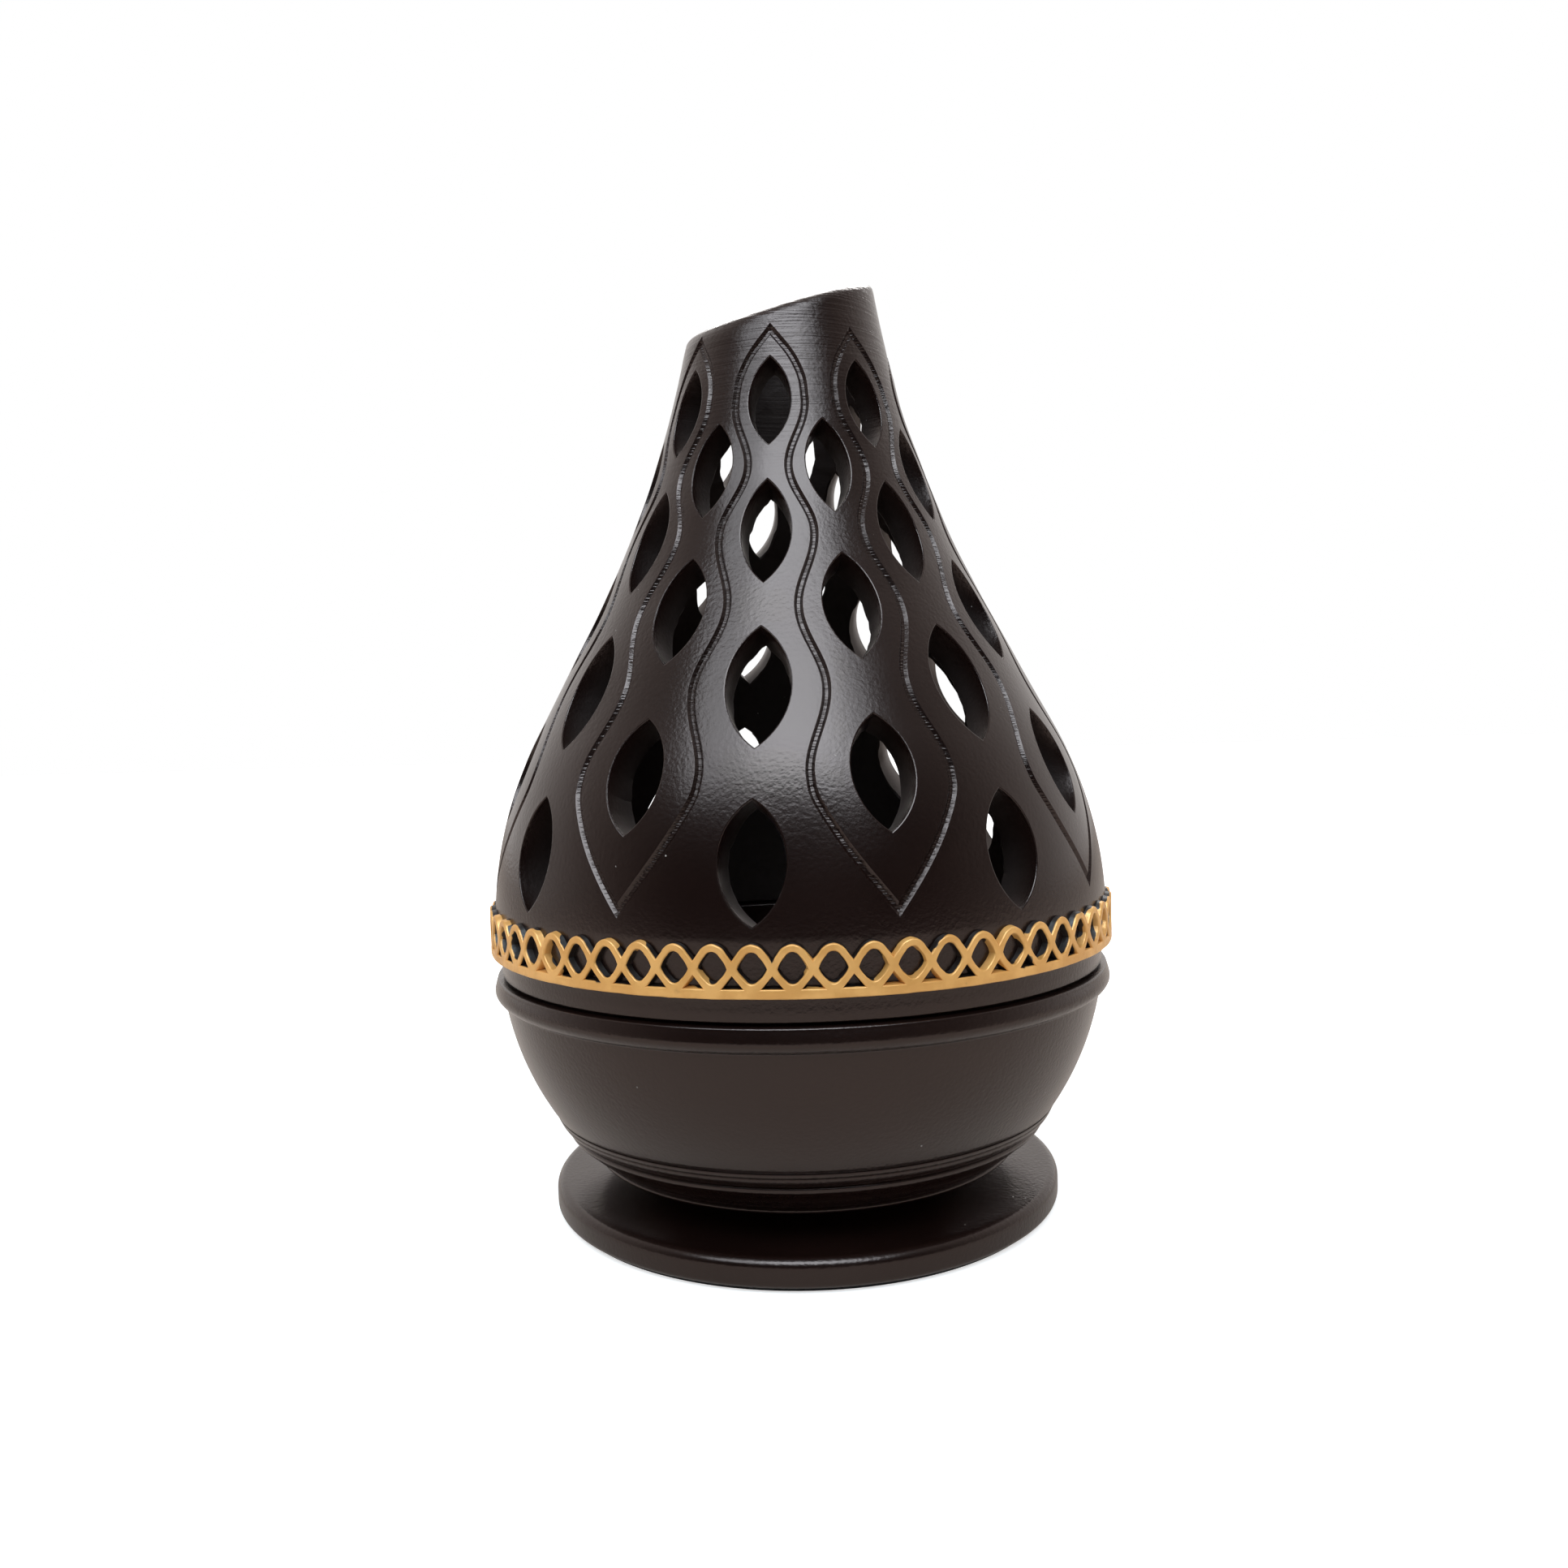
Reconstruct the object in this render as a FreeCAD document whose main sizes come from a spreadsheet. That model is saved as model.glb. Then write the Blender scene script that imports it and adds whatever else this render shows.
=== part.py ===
import FreeCAD, Part
import Sketcher
import math
import os
import re

# Mabkhara incense burner: a turned bowl on a round foot, with a pierced dome that lifts off it.
# The origin is the middle of the underside, +Z is up and the front of the object faces -Y.
# The measured angles on the dome run from the front towards +X.

document = FreeCAD.newDocument("Mabkhara")
sheet = document.addObject("Spreadsheet::Sheet", "Sizes")

# Each piece's own sizes: name, value and what it is. Lengths are millimetres, angles are degrees.
pieceSizes = {
    "Felt pad": [
        ("PadRadius", 36.9, "outer radius, just inside the foot"),
        ("PadThickness", 0.6, "thickness of the felt"),
    ],
    "Foot": [
        ("FootRadius", 38.2, "outer radius"),
        ("FootThickness", 4.7, "height of the seat for the neck above the felt"),
        ("FootRimHeight", 3.9, "height of the rounded rim above the felt"),
        ("FootTopRound", 1.3, "rounding of the upper edge"),
        ("FootLowRound", 0.8, "rounding of the lower edge"),
        ("FootSeatRadius", 23.5, "flat seat round the neck"),
        ("FootDishRadius", 48.0, "hollow curve from the rim up to the seat"),
    ],
    "Foot screw and insert": [
        ("HeadRadius", 4.0, "countersunk head"),
        ("HeadSetBack", 0.2, "head lies this far above the felt"),
        ("ScrewRadius", 2.0, "shank"),
        ("ScrewClearance", 0.2, "play of the shank in the foot"),
        ("ScrewTip", 0.4, "chamfer at the end of the shank"),
        ("SocketWidth", 2.5, "across the flats of the drive socket"),
        ("SocketDepth", 1.6, "depth of the drive socket"),
        ("InsertRadius", 3.6, "outer radius of the threaded insert"),
        ("InsertLength", 5.2, "height of the insert"),
        ("InsertGroove", 0.4, "depth of the groove round the insert"),
        ("InsertCollar", 1.4, "height of each collar of the insert"),
        ("InsertHeadroom", 0.9, "free room above the insert and the screw"),
    ],
    "Bowl": [
        ("NeckRadius", 21.5, "narrow neck between foot and bowl"),
        ("NeckHeight", 2.6, "height of the neck"),
        ("NeckRound", 1.2, "hollow rounding above the neck"),
        ("RingRadius", 31.9, "lowest turned ring"),
        ("RingHeight", 0.8, "height of the lowest ring"),
        ("RidgeHeight", 7.6, "height of the turned ridges, from the underside to the bowl's side"),
        ("SideFootRadius", 38.05, "bowl's radius where its smooth side starts"),
        ("SideHeight", 17.0, "height of the smooth side"),
        ("SideCurve", 41.9, "curve of the smooth side"),
        ("SideTopRadius", 44.77, "bowl's radius under the rim"),
        ("RimRadius", 46.15, "largest radius of the rim bead"),
        ("RimHeight", 3.5, "height of the rim bead"),
        ("RimCurve", 2.0, "curve under the rim bead"),
        ("RimCurveHeight", 1.5, "height of the curve under the rim bead"),
        ("RimLean", 0.4, "how far the rim's face leans in towards its top"),
        ("RimRound", 0.35, "rounding of the rim's upper edge"),
        ("LipRadius", 40.2, "outer radius of the lip that centres the dome"),
        ("LipHeight", 2.4, "height of the lip above the rim"),
        ("LipWall", 1.6, "wall of the lip"),
        ("LipChamfer", 0.35, "chamfer on the lip"),
        ("DishDepth", 12.0, "from the rim down to the ledge for the cup"),
        ("DishStraight", 5.0, "straight part of the wall inside the bowl"),
        ("DishCurve", 12.0, "hollow curve at the foot of the inside wall"),
        ("LedgeRadius", 32.0, "outer radius of the ledge"),
        ("WellDepth", 9.5, "depth of the well below the ledge"),
        ("WellRound", 1.5, "rounding at the foot of the well"),
    ],
    "Charcoal cup": [
        ("CupRadius", 25.6, "outer radius under the flange"),
        ("CupFloorRadius", 21.0, "radius of the flat floor"),
        ("CupDepth", 8.6, "from the flange down to the underside"),
        ("CupBend", 3.2, "rounding between floor and wall"),
        ("CupWall", 0.8, "sheet thickness"),
        ("CupGap", 0.5, "play between cup and well"),
        ("FlangeGap", 0.6, "play between flange and bowl"),
        ("FlangeCurl", 1.9, "height of the turned-up edge"),
    ],
    "Dome": [
        ("DomeRadius", 45.76, "largest outer radius of the dome"),
        ("BellyHeight", 6.7, "height of the largest radius above the seat"),
        ("ShoulderCurve", 58.9, "curve of the shoulder"),
        ("SlopeAngle", 28.0, "lean of the straight slope"),
        ("SlopeLength", 19.7, "length of the straight slope"),
        ("CollarCurve", 155.4, "hollow curve up to the mouth"),
        ("CollarAngle", 7.5, "lean at the top, before the mouth is cut"),
        ("PlainRadius", 45.0, "plain band under the lattice"),
        ("PlainHeight", 3.6, "seat to the lattice's lower edge"),
        ("PlainEdge", 0.25, "chamfer at the foot of the plain band"),
        ("SeamHeight", 0.35, "dark gap between bowl and dome"),
        ("SeamDepth", 1.5, "depth of that gap behind the plain band"),
        ("LipGap", 0.4, "play between lip and dome, round it and over it"),
        ("WallFoot", 5.8, "wall at the foot of the dome"),
        ("WallSlope", 4.4, "wall along the slope"),
        ("WallTop", 4.0, "wall at the mouth"),
        ("ColumnTurn", -7.36, "turn of the dome's first column of holes"),
    ],
    "Mouth": [
        ("MouthHeight", 97.8, "seat to the middle of the slanted mouth"),
        ("MouthTilt", 19.2, "slant of the mouth"),
        ("MouthDirection", 40.0, "direction in which the mouth rises, from +X towards +Y"),
        ("MouthRound", 1.5, "rounding of both edges of the mouth"),
        ("CutReach", 40.0, "overrun of the cut that opens the mouth"),
    ],
    "Pointed holes": [
        ("HoleTaper", 5.0, "draft of the holes' walls"),
        ("HoleLift", 0.6, "start of each cut outside the wall"),
        ("HoleReach", 10.0, "depth of each cut"),
    ],
    "Wavy grooves": [
        ("GrooveWidth", 1.0, "width of a groove"),
        ("GrooveDepth", 0.45, "depth of a groove"),
        ("GrooveTopHeight", 90.55, "seat to the upper point of the grooves"),
        ("GrooveLowHeight", 13.6, "seat to the lower point of the grooves"),
    ],
    "Lattice band": [
        ("BandRadius", 46.5, "face of the lattice"),
        ("BandHeight", 6.6, "height of the lattice"),
        ("RailHeight", 1.22, "height of the lower rail"),
        ("TriangleBase", 2.18, "base of a triangular opening"),
        ("TriangleHeight", 1.36, "height of a triangular opening"),
        ("DiamondRise", 1.84, "lower edge of the band to the diamond's lower point"),
        ("DiamondWidth", 3.51, "width of a diamond opening"),
        ("DiamondHeight", 3.78, "height of a diamond opening"),
        ("ValleyRise", 4.56, "lower edge of the band to the valley between two arches"),
        ("ArchFlat", 0.28, "half the flat on top of an arch"),
        ("BandLift", 0.4, "start of each cut outside the band"),
        ("BandReach", 2.4, "depth of each cut"),
    ],
}

# Rows of holes, from the lowest up: height above the seat to the middle of the hole, the hole's length
# along the wall, its width, and whether the row is turned by half a step.
holeRows = [
    ("One", 19.7, 15.6, 8.6, False),
    ("Two", 30.1, 15.7, 8.25, True),
    ("Three", 40.9, 17.4, 8.55, False),
    ("Four", 51.15, 16.1, 7.75, True),
    ("Five", 61.6, 15.7, 6.9, False),
    ("Six", 70.75, 14.3, 6.3, True),
    ("Seven", 80.2, 13.3, 6.0, False),
]
columnCount = 8
archCount = 60
bandSectors = 4

# A groove swings round each row of holes. At the middle of a row it lies this share of a half step away
# from the columns that start with the lowest row.
grooveShares = {"Two": 0.43, "Three": 0.62, "Four": 0.40, "Five": 0.66, "Six": 0.335, "Seven": 0.69}
# From the upper point down to the top row, and from the second row down to the lower point: share of the
# height between the two, and share of the way sideways.
grooveTopShares = [(0.0, 0.0), (0.25, 0.48), (0.45, 0.76), (0.7, 0.96), (1.0, 1.0)]
grooveLowShares = [(0.17, 0.05), (0.43, 0.30), (0.66, 0.565), (1.0, 1.0)]
# A groove is drawn this many of its widths longer at each end, and the layer it is cut from twice as many.
grooveOverrunShare = 1.5

# The turned ridges under the bowl, from the lowest ring to the smooth side: share of the way out and
# share of the height. The upper ridge bulges, and a fine groove parts it from the smooth side.
ridgeShares = [(0.08, 0.15), (0.37, 0.34), (0.585, 0.505), (0.64, 0.535), (0.715, 0.635), (0.685, 0.68),
               (0.73, 0.70)]
ridgeGrooveShares = [(0.984, 0.967), (0.967, 0.989)]
ridgeCurveShare = 0.65
# The curve of the lowest ring's edge as a share of its height.
ringCurveShare = 0.52

# A diamond opening: shares of its half width and of its height, and each side's curve as a share of
# its width.
diamondShares = [(0.22, 0.045), (1.0, 0.45), (0.24, 0.96)]
diamondCurveShares = [0.14, 1.35, 1.0, 0.16]
# The shoulder of an arch: shares of the half step and of the height from valley to top.
archShoulderShares = (0.40, 0.60)

# An edge is on the plane of the mouth when it lies within this distance of it.
planeTolerance = 0.001


def fillSheet():
    row = 1
    for piece, entries in pieceSizes.items():
        sheet.set("A%d" % row, piece)
        row += 1
        for name, value, meaning in entries:
            row = addSize(row, name, value, meaning)
    for name, level, length, width, half in holeRows:
        row = addSize(row, "Row%sHeight" % name, level, "seat to the middle of the row")
        row = addSize(row, "Row%sLength" % name, length, "length of its holes along the wall")
        row = addSize(row, "Row%sWidth" % name, width, "width of its holes")
    document.recompute()


def addSize(row, name, value, meaning):
    sheet.set("A%d" % row, meaning)
    sheet.set("B%d" % row, str(value))
    sheet.setAlias("B%d" % row, name)
    return row + 1


def bind(formula):
    # Every name in a formula that starts with a capital letter is a cell of the sheet.
    return re.sub(r"\b([A-Z]\w+)", r"Sizes.\1", formula)


def number(formula):
    return float(sheet.evalExpression(formula))


fillSheet()

# Heights that several pieces share, as formulas in the named sizes.
footSeat = "(PadThickness + FootThickness)"
screwBase = "(PadThickness + HeadSetBack)"
insertTop = "(%s + InsertLength)" % footSeat
underside = "(%s + NeckHeight)" % footSeat
sideFoot = "(%s + RidgeHeight)" % underside
sideTop = "(%s + SideHeight)" % sideFoot
seat = "(%s + RimHeight)" % sideTop
ledge = "(%s - DishDepth)" % seat
wellFloor = "(%s - WellDepth)" % ledge
wellRadius = "(CupRadius + CupGap)"
lipBore = "(LipRadius + LipGap)"
lipTop = "(%s + LipHeight)" % seat
bandLevel = "(%s + PlainHeight)" % seat
belly = "(%s + BellyHeight)" % seat

# The dome's outline: a round shoulder, a straight slope and a hollow collar, each running on into the next.
slopeFootRadius = "(DomeRadius - ShoulderCurve * (1 - cos(SlopeAngle)))"
slopeFoot = "(%s + ShoulderCurve * sin(SlopeAngle))" % belly
slopeTopRadius = "(%s - SlopeLength * sin(SlopeAngle))" % slopeFootRadius
slopeTop = "(%s + SlopeLength * cos(SlopeAngle))" % slopeFoot
collarTopRadius = "(%s - CollarCurve * (cos(CollarAngle) - cos(SlopeAngle)))" % slopeTopRadius
collarTop = "(%s + CollarCurve * (sin(SlopeAngle) - sin(CollarAngle)))" % slopeTop


def domeRadiusAt(level, inset="0"):
    # Outer radius of the dome at a height, or of the same outline drawn the given distance inside it.
    inset = "(%s)" % inset
    shoulder = ("(DomeRadius - ShoulderCurve + sqrt((ShoulderCurve - {i}) ^ 2 - ({l} - {b}) ^ 2))"
                ).format(i=inset, l=level, b=belly)
    slope = "({r} - {i} / cos(SlopeAngle) - ({l} - {f}) * tan(SlopeAngle))".format(
        r=slopeFootRadius, i=inset, l=level, f=slopeFoot)
    centreRadius = "(%s + CollarCurve * cos(SlopeAngle))" % slopeTopRadius
    centreLevel = "(%s + CollarCurve * sin(SlopeAngle))" % slopeTop
    collar = "({r} - sqrt((CollarCurve + {i}) ^ 2 - ({c} - {l}) ^ 2))".format(
        r=centreRadius, i=inset, c=centreLevel, l=level)
    slopeStart = "({f} - {i} * sin(SlopeAngle))".format(f=slopeFoot, i=inset)
    slopeEnd = "({t} - {i} * sin(SlopeAngle))".format(t=slopeTop, i=inset)
    return "({l} < {s} ? {a} : ({l} < {e} ? {b} : {c}))".format(
        l=level, s=slopeStart, e=slopeEnd, a=shoulder, b=slope, c=collar)


def domeLeanAt(level):
    # Lean of the dome's wall at a height, in degrees.
    shoulder = "asin(({l} - {b}) / ShoulderCurve)".format(l=level, b=belly)
    collar = "asin(sin(SlopeAngle) - ({l} - {t}) / CollarCurve)".format(l=level, t=slopeTop)
    return "({l} < {s} ? {a} : ({l} < {e} ? SlopeAngle * 1deg : {c}))".format(
        l=level, s=slopeFoot, e=slopeTop, a=shoulder, c=collar)


def addBody(label):
    body = document.addObject("PartDesign::Body", label)
    body.Label = label
    return body


def addSketch(body, name, role, offset=None):
    sketch = body.newObject("Sketcher::SketchObject", name)
    plane = [part for part in body.Origin.OriginFeatures if part.Role == role][0]
    sketch.AttachmentSupport = [(plane, "")]
    sketch.MapMode = "FlatFace"
    if offset:
        sketch.setExpression("AttachmentOffset", bind(offset))
    return sketch


def drawOutline(sketch, corners, curves=None):
    # A closed outline through corners given as formulas (across, up). curves maps the number of a side
    # to its radius as a formula, positive where the side bulges to the right of the way round.
    curves = curves or {}
    places = [FreeCAD.Vector(number(across), number(up), 0) for across, up in corners]
    first = sketch.GeometryCount
    starts = []
    ends = []
    for index, start in enumerate(places):
        end = places[(index + 1) % len(places)]
        side = first + index
        if index not in curves:
            sketch.addGeometry(Part.LineSegment(start, end), False)
            starts.append((side, 1))
            ends.append((side, 2))
            continue
        bulge = number(curves[index])
        radius = abs(bulge)
        chord = end - start
        rightward = FreeCAD.Vector(chord.y, -chord.x, 0).normalize()
        setBack = math.sqrt(radius ** 2 - (chord.Length / 2) ** 2)
        centre = (start + end) / 2 - rightward * math.copysign(setBack, bulge)
        circle = Part.Circle(centre, FreeCAD.Vector(0, 0, 1), radius)
        fromAngle = math.atan2(start.y - centre.y, start.x - centre.x)
        toAngle = math.atan2(end.y - centre.y, end.x - centre.x)
        if bulge > 0:
            sketch.addGeometry(Part.ArcOfCircle(circle, fromAngle, toAngle), False)
            starts.append((side, 1))
            ends.append((side, 2))
        else:
            sketch.addGeometry(Part.ArcOfCircle(circle, toAngle, fromAngle), False)
            starts.append((side, 2))
            ends.append((side, 1))
        limit = sketch.addConstraint(Sketcher.Constraint("Radius", side, radius))
        sketch.setExpression("Constraints[%d]" % limit, bind("abs(%s)" % curves[index]))
    for index, place in enumerate(places):
        sketch.addConstraint(Sketcher.Constraint("Coincident", *ends[index - 1], *starts[index]))
        fixCorner(sketch, starts[index], corners[index], place)


def fixCorner(sketch, corner, formulas, place):
    kinds = ("DistanceX", "DistanceY")
    axes = (-2, -1)
    for kind, axis, formula, distance in zip(kinds, axes, formulas, (place.x, place.y)):
        if formula == "0":
            sketch.addConstraint(Sketcher.Constraint("PointOnObject", *corner, axis))
            continue
        limit = sketch.addConstraint(Sketcher.Constraint(kind, -1, 1, *corner, distance))
        sketch.setExpression("Constraints[%d]" % limit, bind(formula))


def turnProfile(label, corners, curves=None, angle=360):
    # A body turned round the Z axis from an outline of radius and height. Less than a full turn is
    # shared out evenly to both sides of +X.
    body = addBody(label)
    sketch = addSketch(body, label + "_profile", "XZ_Plane")
    drawOutline(sketch, corners, curves)
    turned = body.newObject("PartDesign::Revolution", label + "_turned")
    turned.Profile = (sketch, [""])
    turned.ReferenceAxis = (sketch, ["V_Axis"])
    turned.Angle = angle
    turned.Midplane = angle < 360
    body.Tip = turned
    return body


def cutPocket(body, sketch, name, depth, taper=None, away=False):
    pocket = body.newObject("PartDesign::Pocket", name)
    pocket.Profile = (sketch, [""])
    pocket.setExpression("Length", bind(depth))
    if taper:
        pocket.setExpression("TaperAngle", bind(taper))
    pocket.Reversed = away
    pocket.Refine = False
    body.Tip = pocket
    return pocket


def repeatRound(body, feature, name, count, angle):
    # Copies of a cut, shared out evenly over an angle from the first to the last.
    pattern = body.newObject("PartDesign::PolarPattern", name)
    pattern.Originals = [feature]
    axis = [part for part in body.Origin.OriginFeatures if part.Role == "Z_Axis"][0]
    pattern.Axis = (axis, [""])
    pattern.Angle = angle
    pattern.Occurrences = count
    pattern.Refine = False
    body.Tip = pattern
    return pattern


def joinRound(source, label, count):
    # Copies of a sector, turned round the Z axis and joined into one ring.
    copies = []
    for index in range(count):
        link = document.addObject("App::Link", "%s_sector_%d" % (label, index + 1))
        link.LinkedObject = source
        link.setExpression("LinkPlacement", bind(
            "placement(vector(0; 0; 0); rotationz(ColumnTurn + %d * 360 / %d))" % (index, count)))
        copies.append(link)
    ring = document.addObject("Part::MultiFuse", label)
    ring.Shapes = copies
    ring.Refine = True
    ring.Label = label
    return ring


def buildPad():
    body = addBody("felt_pad")
    sketch = addSketch(body, "felt_pad_outline", "XY_Plane")
    circle = Part.Circle(FreeCAD.Vector(0, 0, 0), FreeCAD.Vector(0, 0, 1), number("PadRadius"))
    sketch.addGeometry(circle, False)
    sketch.addConstraint(Sketcher.Constraint("Coincident", 0, 3, -1, 1))
    limit = sketch.addConstraint(Sketcher.Constraint("Radius", 0, number("PadRadius")))
    sketch.setExpression("Constraints[%d]" % limit, bind("PadRadius"))
    pad = body.newObject("PartDesign::Pad", "felt_pad_thickness")
    pad.Profile = (sketch, [""])
    pad.setExpression("Length", bind("PadThickness"))
    body.Tip = pad
    return body


def buildFoot():
    boreRadius = "(ScrewRadius + ScrewClearance)"
    sinkRadius = "(HeadRadius + HeadSetBack)"
    rimTop = "(PadThickness + FootRimHeight)"
    corners = [
        (sinkRadius, "PadThickness"),
        ("FootRadius - FootLowRound", "PadThickness"),
        ("FootRadius", "PadThickness + FootLowRound"),
        ("FootRadius", "%s - FootTopRound" % rimTop),
        ("FootRadius - FootTopRound", rimTop),
        ("FootSeatRadius", footSeat),
        (boreRadius, footSeat),
        (boreRadius, "PadThickness + %s - %s" % (sinkRadius, boreRadius)),
    ]
    curves = {1: "FootLowRound", 3: "FootTopRound", 4: "-FootDishRadius"}
    return turnProfile("foot_disc", corners, curves)


def buildScrew():
    screwTop = "(%s - ScrewTip)" % insertTop
    corners = [
        ("0", screwBase),
        ("HeadRadius", screwBase),
        ("ScrewRadius", "%s + HeadRadius - ScrewRadius" % screwBase),
        ("ScrewRadius", "%s - ScrewTip" % screwTop),
        ("ScrewRadius - ScrewTip", screwTop),
        ("0", screwTop),
    ]
    body = turnProfile("foot_screw", corners)
    level = "placement(vector(0; 0; %s); rotationz(0))" % screwBase
    sketch = addSketch(body, "drive_socket", "XY_Plane", level)
    corners = []
    for step in range(6):
        turn = "(%d * 60 + 30)" % step
        across = "SocketWidth / 2 / cos(30)"
        corners.append(("%s * cos(%s)" % (across, turn), "%s * sin(%s)" % (across, turn)))
    drawOutline(sketch, corners)
    cutPocket(body, sketch, "drive_socket_cut", "SocketDepth", away=True)
    return body


def buildInsert():
    grooveFoot = "%s + InsertCollar" % footSeat
    grooveTop = "%s - InsertCollar" % insertTop
    corners = [
        ("ScrewRadius", footSeat),
        ("InsertRadius", footSeat),
        ("InsertRadius", grooveFoot),
        ("InsertRadius - InsertGroove", grooveFoot + " + InsertGroove"),
        ("InsertRadius - InsertGroove", grooveTop + " - InsertGroove"),
        ("InsertRadius", grooveTop),
        ("InsertRadius", insertTop),
        ("ScrewRadius", insertTop),
    ]
    return turnProfile("screw_insert", corners)


def buildBowl():
    ringInset = "(RingRadius - RingHeight / 2)"
    ridge = []
    for out, up in ridgeShares + ridgeGrooveShares:
        ridge.append(("RingRadius + {o} * (SideFootRadius - RingRadius)".format(o=out),
                      "{u} + {s} * RidgeHeight".format(u=underside, s=up)))
    lipInside = "(LipRadius - LipWall)"
    corners = [
        ("InsertRadius", footSeat),
        ("NeckRadius", footSeat),
        ("NeckRadius", "%s - NeckRound" % underside),
        ("NeckRadius + NeckRound", underside),
        (ringInset, underside),
        (ringInset, "%s + RingHeight" % underside),
        *ridge,
        ("SideFootRadius", sideFoot),
        ("SideTopRadius", sideTop),
        ("RimRadius", "%s + RimCurveHeight" % sideTop),
        ("RimRadius - RimLean", "%s - RimRound" % seat),
        ("RimRadius - RimLean - RimRound", seat),
        ("LipRadius", seat),
        ("LipRadius", "%s - LipChamfer" % lipTop),
        ("LipRadius - LipChamfer", lipTop),
        (lipInside + " + LipChamfer", lipTop),
        (lipInside, "%s - LipChamfer" % lipTop),
        (lipInside, "%s - DishStraight" % seat),
        ("LedgeRadius", ledge),
        (wellRadius, ledge),
        (wellRadius, "%s + WellRound" % wellFloor),
        (wellRadius + " - WellRound", wellFloor),
        ("0", wellFloor),
        ("0", "%s + InsertHeadroom" % insertTop),
        ("InsertRadius", "%s + InsertHeadroom" % insertTop),
    ]
    upperRidge = 5 + len(ridgeShares)
    side = 6 + len(ridge)
    curves = {
        2: "-NeckRound",
        4: "RingHeight * %s" % ringCurveShare,
        upperRidge: "(SideFootRadius - RingRadius) * %s" % ridgeCurveShare,
        side: "SideCurve",
        side + 1: "RimCurve",
        side + 3: "RimRound",
        side + 10: "-DishCurve",
        side + 13: "-WellRound",
    }
    return turnProfile("fire_bowl", corners, curves)


def buildCup():
    cupBase = "(%s - CupDepth)" % ledge
    flangeRadius = "(LedgeRadius - FlangeGap)"
    wallFoot = "(CupFloorRadius + CupBend)"
    corners = [
        ("0", cupBase),
        ("CupFloorRadius", cupBase),
        (wallFoot, "%s + CupBend" % cupBase),
        ("CupRadius", ledge),
        (flangeRadius, ledge),
        (flangeRadius, "%s + FlangeCurl" % ledge),
        (flangeRadius + " - CupWall", "%s + FlangeCurl" % ledge),
        (flangeRadius + " - CupWall", "%s + CupWall" % ledge),
        ("CupRadius - CupWall", "%s + CupWall" % ledge),
        (wallFoot + " - CupWall", "%s + CupBend" % cupBase),
        ("CupFloorRadius", "%s + CupWall" % cupBase),
        ("0", "%s + CupWall" % cupBase),
    ]
    curves = {1: "CupBend", 9: "-(CupBend - CupWall)"}
    return turnProfile("charcoal_cup", corners, curves)


def buildDome():
    seamRadius = "(PlainRadius - SeamDepth)"
    seamTop = "(%s + SeamHeight)" % seat
    innerFootRadius = "(DomeRadius - WallFoot)"
    innerShoulder = ("%s - WallSlope * cos(SlopeAngle)" % slopeFootRadius,
                     "%s - WallSlope * sin(SlopeAngle)" % slopeFoot)
    innerSlopeTop = ("%s - WallSlope * cos(SlopeAngle)" % slopeTopRadius,
                     "%s - WallSlope * sin(SlopeAngle)" % slopeTop)
    innerTop = ("%s - WallTop * cos(CollarAngle)" % collarTopRadius,
                "%s - WallTop * sin(CollarAngle)" % collarTop)
    inward = "(%s - (%s))" % (innerFootRadius, innerShoulder[0])
    upward = "((%s) - %s)" % (innerShoulder[1], belly)
    corners = [
        (lipBore, seat),
        (seamRadius, seat),
        (seamRadius, seamTop),
        ("PlainRadius - PlainEdge", seamTop),
        ("PlainRadius", seamTop + " + PlainEdge"),
        ("PlainRadius", bandLevel),
        (domeRadiusAt(bandLevel), bandLevel),
        (slopeFootRadius, slopeFoot),
        (slopeTopRadius, slopeTop),
        (collarTopRadius, collarTop),
        innerTop,
        innerSlopeTop,
        innerShoulder,
        (innerFootRadius, belly),
        (innerFootRadius, lipTop + " + LipGap"),
        (lipBore, lipTop + " + LipGap"),
    ]
    curves = {
        6: "ShoulderCurve",
        8: "-CollarCurve",
        10: "(CollarCurve + WallSlope)",
        12: "-(({i}) ^ 2 + ({u}) ^ 2) / (2 * {i})".format(i=inward, u=upward),
    }
    body = turnProfile("dome_sector", corners, curves, 360 / columnCount)
    for name, level, length, width, half in holeRows:
        cutHoleRow(body, name, half)
    return body


def cutHoleRow(body, name, half):
    level = "(%s + Row%sHeight)" % (seat, name)
    step = 360 / columnCount
    turn = 90 - step / 2 if half else 90
    offset = ("placement(vector(0; 0; 0); rotationy({t}))"
              " * placement(vector(0; {l}; {r}); rotationx(-{a}))"
              " * placement(vector(0; 0; HoleLift); rotationz(0))"
              ).format(t=turn, l=level, r=domeRadiusAt(level), a=domeLeanAt(level))
    sketch = addSketch(body, "row_%s_outline" % name.lower(), "XZ_Plane", offset)
    halfLength = "(Row%sLength / 2)" % name
    halfWidth = "(Row%sWidth / 2)" % name
    curve = "({a} ^ 2 + {b} ^ 2) / (2 * {b})".format(a=halfLength, b=halfWidth)
    drawOutline(sketch, [("0", "-" + halfLength), ("0", halfLength)], {0: curve, 1: curve})
    pocket = cutPocket(body, sketch, "row_%s_hole" % name.lower(), "HoleReach", "HoleTaper")
    if half:
        repeatRound(body, pocket, "row_%s_holes" % name.lower(), 2, step)


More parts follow.
